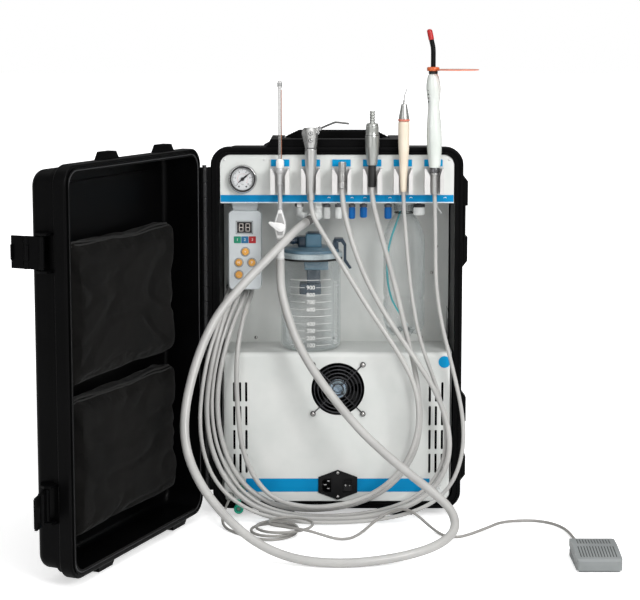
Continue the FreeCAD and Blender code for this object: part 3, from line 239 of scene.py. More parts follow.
def slab(name, outline, y0, y1, finish, slot, body="unit", bevel=0.3, node=None):
    mesh = plateMesh(name, outline, y0, y1)
    return addPiece(name, softEdges(mesh, bevel) if bevel else mesh, finish, body, node=node)


def block(name, low, high, radius, finish):
    return addPiece(name, roundedBlock(name, low, high, radius), finish, "unit")


def line(name, points, radius, finish, body="unit", smooth=True):
    return addPiece(name, tubeMesh(name, points, radius, smooth), finish, body)


def roundOutline(x, z, radius, steps=40):
    return [(x + radius * math.cos(2 * math.pi * i / steps), z + radius * math.sin(2 * math.pi * i / steps))
            for i in range(steps)]


def arcOutline(x, z, radius, wide, start, end, steps=10):
    turns = [math.radians(start + (end - start) * i / steps) for i in range(steps + 1)]
    outer = [(x + (radius + wide / 2) * math.cos(t), z + (radius + wide / 2) * math.sin(t)) for t in turns]
    inner = [(x + (radius - wide / 2) * math.cos(t), z + (radius - wide / 2) * math.sin(t))
             for t in reversed(turns)]
    return outer + inner


def pieceName(node):
    return node.title().replace("_", "")


def tilted(mesh, place, way):
    # from standing on the origin to standing on place and leaning along way
    mesh.transform(Matrix.Translation(place) @ Vector(way).to_track_quat("Z", "Y").to_matrix().to_4x4())
    return mesh


def facingFront(mesh):
    # from lying on the floor to standing and facing -Y
    mesh.transform(Matrix.Rotation(math.radians(90), 4, "X"))
    return mesh


def wrapped(mesh, radius, x, y, z):
    # bends a flat front-facing mesh round an upright cylinder
    for vertex in mesh.vertices:
        turn, reach = vertex.co.x / (radius * mm), radius * mm - vertex.co.y
        vertex.co = Vector((x * mm + reach * math.sin(turn), y * mm - reach * math.cos(turn),
                            vertex.co.z + z * mm))
    return mesh


# nodes: one helper for every kind of tree

def feed(tree, node, inputs):
    # an input is joined to another node's socket, or set to a value
    for key, value in inputs.items():
        if isinstance(value, bpy.types.NodeSocket):
            tree.links.new(value, node.inputs[key])
        else:
            node.inputs[key].default_value = value
    return node


def newNode(tree, kind, inputs=None, **settings):
    node = tree.nodes.new(kind)
    for key, value in settings.items():
        setattr(node, key, value)
    return feed(tree, node, inputs or {})


def calc(tree, operation, *values):
    return newNode(tree, "ShaderNodeMath", dict(enumerate(values)), operation=operation).outputs[0]


# geometry nodes: copies in a row, in a ring and on points

def newTree(name, sockets):
    tree = bpy.data.node_groups.new(name, "GeometryNodeTree")
    tree.interface.new_socket("Geometry", in_out="INPUT", socket_type="NodeSocketGeometry")
    for label, kind in dict(sockets, Unit="Object", Material="Material").items():
        tree.interface.new_socket(label, in_out="INPUT", socket_type="NodeSocket" + kind)
    tree.interface.new_socket("Geometry", in_out="OUTPUT", socket_type="NodeSocketGeometry")
    return tree, tree.nodes.new("NodeGroupInput").outputs


def finishTree(tree, given, points, turns=None):
    # puts the unit on every point, makes the copies real and paints them
    unit = newNode(tree, "GeometryNodeObjectInfo", {"Object": given["Unit"]})
    inputs = {"Points": points, "Instance": unit.outputs["Geometry"]}
    if turns is not None:
        inputs["Rotation"] = turns
    copies = newNode(tree, "GeometryNodeInstanceOnPoints", inputs)
    solid = newNode(tree, "GeometryNodeRealizeInstances", {0: copies.outputs[0]})
    painted = newNode(tree, "GeometryNodeSetMaterial", {
        "Geometry": solid.outputs[0], "Material": given["Material"]})
    newNode(tree, "NodeGroupOutput", {0: painted.outputs[0]})
    return tree


def rowTree():
    # in a straight row
    tree, given = newTree("rowOfCopies", dict(Count="Int", First="Vector", Step="Vector"))
    row = newNode(tree, "GeometryNodeMeshLine", {
        "Count": given["Count"], "Start Location": given["First"], "Offset": given["Step"]})
    return finishTree(tree, given, row.outputs[0])


def ringTree():
    # round the Z axis, each turned to face outwards
    tree, given = newTree("ringOfCopies", dict(Count="Int", Radius="Float", From="Float", Step="Float"))
    row = newNode(tree, "GeometryNodeMeshLine", {"Count": given["Count"]})
    index = newNode(tree, "GeometryNodeInputIndex")
    angle = calc(tree, "MULTIPLY_ADD", index.outputs[0], given["Step"], given["From"])
    spot = newNode(tree, "ShaderNodeCombineXYZ", {0: calc(tree, "COSINE", angle), 1: calc(tree, "SINE", angle)})
    spread = newNode(tree, "ShaderNodeVectorMath", operation="SCALE")
    feed(tree, spread, {0: spot.outputs[0], "Scale": given["Radius"]})
    place = newNode(tree, "GeometryNodeSetPosition", {
        "Geometry": row.outputs[0], "Position": spread.outputs[0]})
    facing = newNode(tree, "ShaderNodeCombineXYZ", {2: angle})
    return finishTree(tree, given, place.outputs[0], facing.outputs[0])


def pointsTree():
    # on every vertex of the host
    tree, given = newTree("copiesOnPoints", {})
    return finishTree(tree, given, given["Geometry"])


trees = {"row": rowTree(), "ring": ringTree(), "points": pointsTree()}


def grow(name, kind, unitMesh, material, host=None, **inputs):
    # runs one of the trees and gives back a plain mesh
    unit = bpy.data.objects.new(name + "Unit", unitMesh)
    seed = bpy.data.objects.new(name + "Seed", host or bpy.data.meshes.new(name + "Seed"))
    for obj in (unit, seed):
        bpy.context.collection.objects.link(obj)
    modifier = seed.modifiers.new("grow", "NODES")
    values = dict(inputs, Unit=unit, Material=material)
    modifier.node_group = trees[kind]
    for item in trees[kind].interface.items_tree:
        if item.in_out == "INPUT" and item.name in values:
            modifier[item.identifier] = values[item.name]
    mesh = asMesh(seed)
    bpy.data.objects.remove(seed)
    bpy.data.objects.remove(unit)
    return mesh


def rowOf(name, unit, finish, count, first, step, body="unit"):
    mesh = grow(name, "row", unit, paint[finish], Count=count, First=at(*first), Step=at(*step))
    return addPiece(name, mesh, None, body)


def ringOf(name, unit, finish, count, radius, place, body="unit", start=0.0):
    mesh = grow(name, "ring", unit, paint[finish], Count=count, Radius=radius * mm, From=start,
                Step=2 * math.pi / count)
    return addPiece(name, moved(mesh, *place), None, body)


def onPoints(name, unit, finish, spots):
    host = meshFrom(name + "Host", [at(*spot) for spot in spots], [])
    return addPiece(name, grow(name, "points", unit, paint[finish], host=host), None, "unit")


# materials

def startMaterial(name):
    material = bpy.data.materials.new(name)
    material.use_nodes = True
    tree = material.node_tree
    coords = newNode(tree, "ShaderNodeTexCoord")
    return material, tree, tree.nodes["Principled BSDF"], coords.outputs["Object"]


def noiseNode(tree, coords, scale, detail=4, stretch=None):
    if stretch:
        coords = newNode(tree, "ShaderNodeMapping", {0: coords, "Scale": stretch}).outputs[0]
    texture = newNode(tree, "ShaderNodeTexNoise", {"Scale": scale, "Detail": detail, "Vector": coords})
    return texture.outputs["Fac"]


def rangeNode(tree, value, low, high, fromLow=0.3, fromHigh=0.7):
    return newNode(tree, "ShaderNodeMapRange", {
        0: value, "From Min": fromLow, "From Max": fromHigh, "To Min": low, "To Max": high}).outputs[0]


def colourNode(tree, value, dark, light):
    mix = newNode(tree, "ShaderNodeMix", data_type="RGBA")
    return feed(tree, mix, {0: value, 6: (*dark, 1), 7: (*light, 1)}).outputs[2]


def bumpNode(tree, value, depth, distance=0.0005, before=None):
    bump = newNode(tree, "ShaderNodeBump", {"Strength": depth, "Distance": distance, "Height": value})
    return feed(tree, bump, {"Normal": before} if before else {}).outputs[0]


def tones(dark, light, smoothest, roughest, **more):
    return dict(more, dark=dark, light=light, rough=(smoothest, roughest))


def solidFinish(name, look):
    # moulded plastic, paint, rubber or metal: two tones, grain in the gloss and in the surface
    material, tree, shader, coords = startMaterial(name)
    cloud = noiseNode(tree, coords, look.get("cloud", 18), 3, look.get("stretch"))
    grain = noiseNode(tree, coords, look.get("grain", 1500), 2, look.get("stretch"))
    feed(tree, shader, {
        "Base Color": colourNode(tree, rangeNode(tree, cloud, 0, 1), look["dark"], look["light"]),
        "Roughness": rangeNode(tree, cloud, *look["rough"]),
        "Normal": bumpNode(tree, grain, look.get("bump", 0.1)),
        "Metallic": look.get("metal", 0),
        "Coat Weight": look.get("coat", 0),
        "Coat Roughness": 0.12,
        "Specular IOR Level": look.get("shine", 0.5)})
    return material


def clearFinish(name, look):
    # see-through plastic: clear face on, denser where the wall is seen on edge
    material, tree, shader, coords = startMaterial(name)
    edge = newNode(tree, "ShaderNodeLayerWeight", {"Blend": 0.35}).outputs["Facing"]
    wave = noiseNode(tree, coords, look.get("cloud", 30), 2)
    feed(tree, shader, {
        "Base Color": (*look["colour"], 1),
        "Roughness": rangeNode(tree, wave, *look["rough"]),
        "Alpha": rangeNode(tree, edge, look["clear"], look["solid"], 0.0, 1.0),
        "Normal": bumpNode(tree, wave, look.get("bump", 0.15), 0.001),
        "Coat Weight": look.get("gloss", 0.6),
        "Coat Roughness": 0.05})
    return material


def weaveFinish(name, look):
    # plain-weave nylon: two crossed waves, broken up by a soft cloud
    material, tree, shader, coords = startMaterial(name)
    along = newNode(tree, "ShaderNodeMapping", {0: coords, "Rotation": (0, 0, math.radians(look["turn"]))})
    wave = {"Scale": look["threads"], "Distortion": 0.4, "Vector": along.outputs[0]}
    threads = calc(tree, "MULTIPLY", *[
        newNode(tree, "ShaderNodeTexWave", wave, bands_direction=way).outputs["Fac"] for way in ("X", "Z")])
    cloud = noiseNode(tree, coords, 14, 4)
    shade = calc(tree, "MULTIPLY_ADD", threads, 0.45, rangeNode(tree, cloud, 0, 0.6))
    soft = bumpNode(tree, noiseNode(tree, coords, 60, 3), 0.25, 0.002)
    feed(tree, shader, {
        "Base Color": colourNode(tree, shade, look["dark"], look["light"]),
        "Roughness": rangeNode(tree, cloud, *look["rough"]),
        "Normal": bumpNode(tree, threads, 0.5, 0.0003, soft),
        "Sheen Weight": 0.04,
        "Sheen Roughness": 0.4,
        "Specular IOR Level": 0.06})
    return material


def plainInk(name, colour, rough=0.45):
    material, tree, shader, coords = startMaterial(name)
    speck = noiseNode(tree, coords, 900, 2)
    darker = tuple(c * 0.86 for c in colour)
    feed(tree, shader, {
        "Base Color": colourNode(tree, rangeNode(tree, speck, 0, 1), darker, colour),
        "Roughness": rangeNode(tree, speck, rough, rough + 0.12)})
    return material


def paintedAbove(material, height, colour):
    # screw heads above this height are painted over, the ones below stay bare steel
    tree = material.node_tree
    shader = tree.nodes["Principled BSDF"]
    place = newNode(tree, "ShaderNodeTexCoord").outputs["Object"]
    above = calc(tree, "GREATER_THAN", newNode(tree, "ShaderNodeSeparateXYZ", {0: place}).outputs[2], height)
    bare = shader.inputs["Base Color"].links[0].from_socket
    mix = feed(tree, newNode(tree, "ShaderNodeMix", data_type="RGBA"), {0: above, 6: bare, 7: (*colour, 1)})
    feed(tree, shader, {"Base Color": mix.outputs[2], "Metallic": rangeNode(tree, above, 1, 0, 0, 1)})


solidLooks = {
    "case_black": tones((0.0009, 0.0009, 0.001), (0.0018, 0.0018, 0.002), 0.3, 0.42, grain=2600, bump=0.12,
                        cloud=9, shine=0.06),
    "hinge_steel": tones((0.05, 0.05, 0.052), (0.11, 0.11, 0.115), 0.3, 0.42, metal=1),
    "handle_black": tones((0.001, 0.001, 0.001), (0.002, 0.002, 0.002), 0.4, 0.55, bump=0.2, shine=0.07),
    "panel_white": tones((0.6, 0.62, 0.6), (0.67, 0.68, 0.66), 0.32, 0.45, grain=900, bump=0.05, shine=0.35),
    "screw_steel": tones((0.42, 0.41, 0.4), (0.62, 0.6, 0.58), 0.22, 0.38, metal=1),
    "holder_white": tones((0.56, 0.55, 0.54), (0.63, 0.62, 0.61), 0.3, 0.4, bump=0.04),
    "gauge_chrome": tones((0.38, 0.38, 0.38), (0.55, 0.55, 0.55), 0.14, 0.2, metal=1, bump=0),
    "needle_black": tones((0.01, 0.01, 0.012), (0.02, 0.02, 0.022), 0.4, 0.5),
    "control_grey": tones((0.5, 0.535, 0.55), (0.58, 0.61, 0.625), 0.38, 0.5, bump=0.06),
    "fan_black": tones((0.002, 0.002, 0.0022), (0.005, 0.005, 0.0055), 0.35, 0.5, shine=0.25),
    "guard_wire": tones((0.02, 0.02, 0.022), (0.05, 0.05, 0.055), 0.25, 0.35, metal=0.4),
    "inlet_black": tones((0.0025, 0.0025, 0.0028), (0.005, 0.005, 0.0055), 0.32, 0.45, shine=0.2),
    "jar_blue": tones((0.008, 0.022, 0.04), (0.018, 0.04, 0.065), 0.26, 0.38, coat=0.3, bump=0.05),
    "fitting_white": tones((0.62, 0.64, 0.63), (0.74, 0.75, 0.74), 0.35, 0.5),
    "knob_blue": tones((0.0, 0.1, 0.36), (0.0, 0.15, 0.48), 0.35, 0.45, shine=0.3),
    "key_orange": tones((0.62, 0.28, 0.04), (0.76, 0.38, 0.08), 0.4, 0.5, bump=0.05),
    "ejector_white": tones((0.6, 0.6, 0.59), (0.7, 0.7, 0.69), 0.3, 0.4, coat=0.2),
    "tool_metal": tones((0.3, 0.3, 0.31), (0.5, 0.5, 0.51), 0.2, 0.34, metal=1, stretch=(1, 1, 0.05)),
    "syringe_grey": tones((0.46, 0.46, 0.45), (0.56, 0.56, 0.55), 0.3, 0.4, metal=0.75, bump=0.03),
    "scaler_cream": tones((0.68, 0.59, 0.47), (0.75, 0.67, 0.55), 0.38, 0.5, bump=0.05),
    "light_white": tones((0.6, 0.64, 0.6), (0.68, 0.71, 0.68), 0.22, 0.32, coat=0.4, bump=0.03),
    "light_guide": tones((0.0015, 0.0015, 0.0015), (0.003, 0.003, 0.003), 0.4, 0.5, shine=0.12, bump=0.03),
    "hose_grey": tones((0.38, 0.375, 0.365), (0.45, 0.445, 0.43), 0.34, 0.46, grain=2200, bump=0.08, coat=0.15),
    "pedal_grey": tones((0.19, 0.205, 0.205), (0.25, 0.265, 0.265), 0.4, 0.52, bump=0.15),
    "compressor_metal": tones((0.1, 0.1, 0.11), (0.17, 0.17, 0.18), 0.35, 0.55, metal=0.8),
    "bandBlue": tones((0.0, 0.185, 0.41), (0.0, 0.24, 0.5), 0.4, 0.5, bump=0.02, shine=0.12),
    "labelBlue": tones((0.0, 0.24, 0.5), (0.0, 0.3, 0.6), 0.4, 0.5, bump=0.02, shine=0.12),
    "edgeSilver": tones((0.6, 0.66, 0.7), (0.75, 0.8, 0.84), 0.25, 0.35, metal=0.5),
    "copper": tones((0.36, 0.13, 0.07), (0.46, 0.19, 0.11), 0.25, 0.35, metal=1),
    # the hoses' grey darkened for the pedal cable: painted shade of the coil lying in its own shadow
    "cableGrey": tones((0.24, 0.235, 0.22), (0.31, 0.3, 0.285), 0.34, 0.46, bump=0.08),
    "lidPale": tones((0.075, 0.14, 0.19), (0.12, 0.2, 0.26), 0.28, 0.4, bump=0.04, coat=0.2),
    "motorGrey": tones((0.3, 0.31, 0.29), (0.42, 0.43, 0.41), 0.26, 0.36, metal=0.75, stretch=(1, 1, 0.05)),
    "couplingSteel": tones((0.4, 0.4, 0.39), (0.5, 0.5, 0.49), 0.3, 0.36, metal=0.85, bump=0.02),
    "headDark": tones((0.1, 0.1, 0.105), (0.18, 0.18, 0.185), 0.2, 0.32, metal=0.9),
    "stickerBlue": tones((0.25, 0.33, 0.42), (0.42, 0.5, 0.52), 0.2, 0.35, metal=0.8, cloud=60),
    "rimPale": tones((0.32, 0.38, 0.4), (0.42, 0.48, 0.5), 0.25, 0.35, coat=0.3),
    "cageBlue": tones((0.05, 0.13, 0.19), (0.1, 0.2, 0.27), 0.3, 0.42, coat=0.2),
    "faceGrey": tones((0.28, 0.28, 0.275), (0.36, 0.36, 0.355), 0.3, 0.4, coat=0.2),
    "ejectorSteel": tones((0.42, 0.42, 0.42), (0.5, 0.5, 0.5), 0.25, 0.32, metal=0.25, bump=0.02, coat=0.3),
    "controlPale": tones((0.42, 0.43, 0.45), (0.52, 0.53, 0.55), 0.3, 0.4, coat=0.2),
    "wingWhite": tones((0.72, 0.72, 0.71), (0.8, 0.8, 0.79), 0.2, 0.3, coat=0.3),
    "syringeMetal": tones((0.1, 0.1, 0.1), (0.17, 0.17, 0.165), 0.22, 0.32, metal=0.8, bump=0.02),
    "knuckleDark": tones((0.004, 0.004, 0.0045), (0.008, 0.008, 0.009), 0.25, 0.38, shine=0.4),
    "cuffDark": tones((0.06, 0.058, 0.055), (0.11, 0.105, 0.1), 0.25, 0.4, coat=0.3),
}
clearLooks = {
    "jar_clear": dict(colour=(0.62, 0.68, 0.68), clear=0.02, solid=0.55, rough=(0.04, 0.1)),
    "bottle_clear": dict(colour=(0.5, 0.56, 0.56), clear=0.008, solid=0.42, rough=(0.02, 0.06), bump=0.15,
                         cloud=45),
    "tubeTeal": dict(colour=(0.02, 0.45, 0.5), clear=0.8, solid=0.95, rough=(0.1, 0.2)),
    "shieldOrange": dict(colour=(0.85, 0.16, 0.03), clear=0.75, solid=0.95, rough=(0.08, 0.12)),
    "dialGlass": dict(colour=(0.8, 0.85, 0.86), clear=0.005, solid=0.1, rough=(0.02, 0.05), bump=0.02,
                      gloss=0.15),
    "capClear": dict(colour=(0.45, 0.5, 0.5), clear=0.3, solid=0.75, rough=(0.1, 0.2), bump=0.05),
    "tipClear": dict(colour=(0.36, 0.35, 0.34), clear=0.4, solid=0.95, rough=(0.12, 0.2), bump=0.0, gloss=0.2),
}
inks = {
    "dialWhite": ((0.72, 0.73, 0.74), 0.45),
    "inkBlack": ((0.012, 0.012, 0.014), 0.45),
    "inkRed": ((0.55, 0.04, 0.04), 0.45),
    "inkWhite": ((0.8, 0.8, 0.78), 0.45),
    "screenDark": ((0.012, 0.01, 0.01), 0.15),
    "digitPale": ((0.55, 0.5, 0.47), 0.3),
    "stripGreen": ((0.0, 0.24, 0.13), 0.3),
    "stripBlue": ((0.01, 0.14, 0.3), 0.3),
    "stripRed": ((0.42, 0.005, 0.01), 0.3),
    "rubberBlack": ((0.004, 0.004, 0.004), 0.5),
    "guideRed": ((0.42, 0.008, 0.008), 0.3),
    "scalerRed": ((0.62, 0.2, 0.14), 0.3),
    "fittingGreen": ((0.0, 0.38, 0.24), 0.25),
    "shadeBlack": ((0.004, 0.004, 0.0045), 0.22),
    "guideOrange": ((0.6, 0.12, 0.03), 0.25),
    "pipingBlack": ((0.006, 0.006, 0.0055), 0.7),
    "sealGrey": ((0.03, 0.03, 0.032), 0.6),
    # dark strips on the treadle: painted shade in its grooves
    "grooveDark": ((0.045, 0.05, 0.05), 0.6),
}
paint = {name: solidFinish(name, look) for name, look in solidLooks.items()}
paint.update({name: clearFinish(name, look) for name, look in clearLooks.items()})
paint.update({name: plainInk(name, *ink) for name, ink in inks.items()})
paint["pocket_nylon"] = weaveFinish("pocket_nylon", tones(
    (0.0016, 0.0016, 0.0015), (0.0075, 0.007, 0.0064), 0.7, 0.9, threads=420, turn=113.5))


paintedAbove(paint["screw_steel"], 0.57, (0.66, 0.67, 0.66))
print("materials made:", len(paint))

nodeSlots = {entry["node"]: entry["material_slot"] for entry in frame["record"]["subparts"]}
for name, obj in nodes.items():
    obj.data.materials.clear()
    obj.data.materials.append(paint[nodeSlots[name]])


# cords

cordRoutes = {
    "suction_hose": dict(diameter=14, length=1536, stiffness="limp", points=[
        (-43, -78, 496), (-60, -99, 488), (-90, -129, 460), (-123, -148, 428), (-154, -166, 398),
        (-187, -186, 361), (-208, -210, 324), (-222, -230, 287), (-232, -248, 250), (-238, -264, 214),
        (-238, -278, 177), (-228, -292, 141), (-209, -306, 107), (-182, -320, 75), (-148, -335, 45),
        (-108, -350, 22), (-58, -364, 9), (2, -374, 7.4), (57, -366, 9), (110, -351, 14), (155, -328, 22),
        (184, -293, 35), (180, -258, 57), (147, -233, 82), (101, -209, 113), (70, -195, 137), (36, -182, 167),
        (-7, -166, 216), (-41, -152, 261), (-65, -139, 302), (-82, -126, 348), (-91, -115, 383),
        (-92.5, -111.3, 410), (-92.5, -111, 434)]),
    "syringe_hose": dict(diameter=8, length=1134, stiffness="limp", points=[
        (-42.7, -111, 531), (-42, -111.4, 513), (-32, -117, 491), (-12, -124, 460), (16, -130, 414),
        (48, -136, 361), (77, -140, 319), (103, -143, 279), (124, -145, 239), (133, -145, 200),
        (132, -144, 156), (118, -142, 111), (90, -140, 72), (54, -137, 46), (10, -134, 30), (-38, -131, 24),
        (-81, -128, 29), (-115, -126, 46), (-140, -124, 79), (-156, -122, 122), (-162, -120, 174),
        (-165, -118, 227), (-164, -108, 281), (-157, -90, 323), (-149, -66, 349), (-143, -44, 364),
        (-142, -24, 370.5), (-142, -6, 372)]),
    "turbine_hose": dict(diameter=8.5, length=1297, stiffness="limp", points=[
        (8.3, -111, 549), (8.7, -111.4, 529), (14, -114, 499), (26, -119, 457), (45, -124, 407),
        (71, -128, 358), (99, -131, 314), (128, -133, 272), (156, -134, 229), (175, -134, 187),
        (185, -134, 142), (182, -134, 100), (164, -134, 63), (135, -134, 36), (94, -134, 19), (41, -134, 8),
        (-15, -134, 5.5), (-71, -134, 8), (-123, -134, 20), (-162, -134, 45), (-190, -134, 84),
        (-208, -134, 132), (-214, -134, 186), (-209, -131, 241), (-199, -124, 290), (-187, -106, 331),
        (-178, -77, 355), (-172.5, -47, 367), (-172, -24, 371), (-172, -6, 372)]),
    "motor_hose": dict(diameter=8.5, length=1162, stiffness="limp", points=[
        (56.5, -111, 552), (57, -111.3, 532), (63, -111, 505), (75, -112, 461), (89, -114, 412),
        (102, -116, 361), (114, -118, 309), (126, -119, 262), (134, -119, 216), (138, -118, 169),
        (132, -117, 123), (112, -116, 82), (81, -115, 50), (42, -115, 29), (-5, -115, 18), (-56, -115, 15.5),
        (-104, -115, 24), (-144, -115, 48), (-171, -115, 82), (-189, -115, 127), (-197, -115, 178),
        (-195, -115, 231), (-185, -104, 282), (-171, -86, 325), (-160, -64, 349), (-153, -43, 364),
        (-152, -24, 370.5), (-152, -6, 372)]),
    "scaler_cable": dict(diameter=6.5, length=1230, stiffness="limp", points=[
        (107.5, -111, 544), (107.6, -111.2, 524), (110, -110, 494), (114, -110, 446), (119, -112, 395),
        (127, -114, 341), (139, -116, 290), (156, -118, 245), (170, -121, 203), (179, -123, 156),
        (178, -124, 111), (163, -124, 72), (135, -124, 43), (94, -124, 23), (42, -124, 12), (-11, -124, 8),
        (-67, -124, 10), (-119, -124, 23), (-156, -124, 49), (-182, -124, 86), (-199, -124, 131),
        (-206, -124, 183), (-203, -122, 236), (-193, -114, 286), (-180, -96, 328), (-169, -71, 352),
        (-162.5, -45, 366), (-162, -24, 370.5), (-162, -6, 372)]),
    "curing_light_cable": dict(diameter=6.5, length=1297, stiffness="limp", points=[
        (158, -111, 539), (158.3, -111, 519), (159.6, -109.5, 484), (160.2, -109, 441), (161, -109, 400),
        (166, -110, 355), (175, -112, 311), (187, -115, 265), (198, -119, 219), (206, -124, 177),
        (208, -131, 135), (200, -138, 94), (183, -144, 60), (152, -149, 34), (108, -151, 17), (54, -152, 8),
        (-3, -152, 5), (-64, -152, 6), (-123, -153, 17), (-169, -155, 42), (-201, -158, 79), (-218, -159, 125),
        (-223, -160, 178), (-218, -156, 235), (-208, -141, 286), (-194, -120, 326), (-187, -89, 353),
        (-183, -52, 367), (-182, -25, 370.5), (-182, -6, 372)]),
    "pedal_cable": dict(diameter=4.5, length=1586, stiffness="medium", points=[
        (-178, -109, 33), (-179.4, -121, 31.2), (-184.6, -136, 21.6), (-188, -153, 10.6), (-183.4, -171.6, 4),
        (-170.6, -190.9, 2.6), (-155.1, -208.7, 2.6), (-137.9, -225, 2.6), (-118.7, -238.6, 3),
        (-95.5, -239.7, 3.5), (-75.8, -227.3, 4), (-65.1, -206.4, 4.4), (-66.5, -183.1, 4.9),
        (-80.8, -164.8, 5.4), (-103.3, -158.9, 5.9), (-125, -167.3, 6.4), (-138.1, -186.6, 6.9),
        (-138.6, -209.9, 7.4), (-126.3, -229.8, 7.9), (-105.1, -239.4, 8.4), (-82.2, -235.3, 8.9),
        (-66.1, -218.5, 9.4), (-62.3, -195.5, 9.9), (-71.7, -174.1, 10.4), (-91.2, -161.6, 11),
        (-114, -165.6, 11.6), (-129.1, -183.3, 12.1), (-131, -206.5, 12.6), (-119.1, -226.5, 13.1),
        (-98.1, -236.7, 13.7), (-74.6, -236, 14.2), (-53.6, -225.5, 14.7), (-39.7, -206.7, 15.2),
        (-39.5, -183.5, 15.9), (-55.2, -166.6, 16.6), (-78.1, -161.8, 17.3), (-99.9, -169.9, 18.1),
        (-112.3, -189.6, 19), (-108.7, -211.5, 19.7), (-88.2, -223.3, 19.9), (-67, -233.6, 19.9),
        (-45.2, -242.7, 18.9), (-22.9, -243.3, 11.9), (-0.5, -241.3, 4.5), (20.3, -231.3, 2.6),
        (32.9, -211.4, 2.6), (43.9, -190.6, 4.1), (56.5, -171.2, 9.1), (71.2, -153.9, 15.7),
        (91.3, -146.7, 24.8), (113.3, -152.8, 28.9), (130.7, -166.6, 21.8), (147, -178.6, 9.6),
        (160.1, -196.9, 3.3), (171.2, -217.8, 2.6), (192.1, -224.5, 2.6), (210.2, -209.6, 2.6),
        (227.2, -193.2, 3.3), (245.7, -178.6, 5.6), (262.3, -161.8, 7.2), (279.6, -145.8, 5.4),
        (299.5, -133.4, 3.1), (322.7, -130.8, 2.6), (344.3, -140, 2.6), (360, -157.5, 2.6), (369, -179.3, 2.6),
        (373.1, -202.6, 2.8), (374.4, -226.2, 3.8), (375, -241, 5), (373, -271, 7.4), (373, -297, 7)]),
}


def layCord(node, route):
    curve = bpy.data.curves.new(node, "CURVE")
    curve.dimensions = "3D"
    curve.bevel_depth = route["diameter"] * mm / 2
    curve.bevel_resolution = 6
    curve.use_fill_caps = True
    spline = curve.splines.new("NURBS")
    spline.points.add(len(route["points"]) - 1)
    for point, place in zip(spline.points, route["points"]):
        point.co = (*at(*place), 1)
    spline.order_u = 3
    spline.use_endpoint_u = True
    spline.resolution_u = 10
    obj = bpy.data.objects.new(pieceName(node) + "Line", curve)
    bpy.context.collection.objects.link(obj)
    # the pedal cable gets the darker grey, painted shade; the hoses keep their own grey
    curve.materials.append(paint["cableGrey" if node == "pedal_cable" else "hose_grey"])
    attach(obj, "unit")
    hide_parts(node)
    return obj


for name, route in cordRoutes.items():
    layCord(name, route)
print("cords laid:", len(cordRoutes))


# labels, bands and small parts of the white panels

def buildPanelMarks():
    label = dict(wide=30, tall=11.3, first=(-92.5, -97.15, 590.0), step=49.8, count=6)
    half, tall = label["wide"] / 2, label["tall"] / 2
    unit = plateMesh("labelUnit", roundedOutline(-half, half, -tall, tall, 1.0), -0.25, 0.1)
    rowOf("holderLabels", unit, "labelBlue", label["count"], label["first"],
          (label["step"], 0, 0))

    band = dict(x=190, low=526.0, high=537.4, y=(-93.35, -92.9))
    slab("fasciaBand", roundedOutline(-band["x"], band["x"], band["low"], band["high"], 0.5), *band["y"],
         "bandBlue", "panel_white", bevel=0)
    slab("fasciaEdge", roundedOutline(-band["x"], band["x"], 524.1, 526.0, 0.3), -93.5, -92.9,
         "edgeSilver", "panel_white", bevel=0)
    arc = plateMesh("arcUnit", arcOutline(0, -1.6, 2.6, 0.7, 30, 150), -0.12, 0.1)
    spots = [(x, -93.4, 532.6) for x in (-13.1, 24.4, 45.6, 86.4, 120.6, 176.1)]
    onPoints("fasciaMarks", arc, "inkWhite", spots)

    for name, x0, x1 in (("coverBandLeft", -151, -28), ("coverBandRight", 31, 154.7)):
        slab(name, roundedOutline(x0, x1, 40.8, 63.3, 0.6), -93.35, -92.9, "bandBlue", "panel_white", bevel=0)
    slab("coverDisc", roundOutline(177.6, 260.5, 9.8), -93.3, -92.9, "labelBlue", "panel_white", bevel=0)

    arm = [(-1.3, -0.25), (1.3, -0.25), (1.3, 0.25), (-1.3, 0.25)]
    upright = [(-0.25, -1.3), (0.25, -1.3), (0.25, 1.3), (-0.25, 1.3)]
    cross = joined("crossUnit", [plateMesh("arm", arm, -0.1, 0.3), plateMesh("upright", upright, -0.12, 0.28)])
    wall = ((-137.2, 282.8), (-3.9, 281.9), (145.4, 283.6), (162.5, 394.9), (-170, 513), (170, 440))
    heads = [(x, 8.25, z) for x, z in wall]
    heads += [(1.8 + dx, -99.2, 215 + dz) for dx in (-41.25, 41.25) for dz in (-41.25, 41.25)]
    heads += [(1.8, -96.7, 53 + dz) for dz in (-20.2, 20.2)]
    onPoints("screwCrosses", cross, "headDark", heads)

    # small hook and pins at the right of the recess
    slab("wallHook", [(188.2, 284), (190.4, 284), (190.4, 321), (188.2, 318)], -16, -6, "inkBlack",
         "inlet_black", bevel=0.5)
    line("wallHookFrame", [(186.4, -11, 290), (186.4, -11, 341), (190.0, -11, 331)], 0.7, "inkBlack",
         smooth=False)
    line("slantPin", [(166, -60, 523), (166, -60, 514), (173, -60, 504)], 1.5, "fitting_white",
         smooth=False)
    line("shortPin", [(60, -60, 523.5), (60, -60, 507)], 1.2, "fitting_white", smooth=False)
    print("panel marks made")


buildPanelMarks()


# pressure gauge

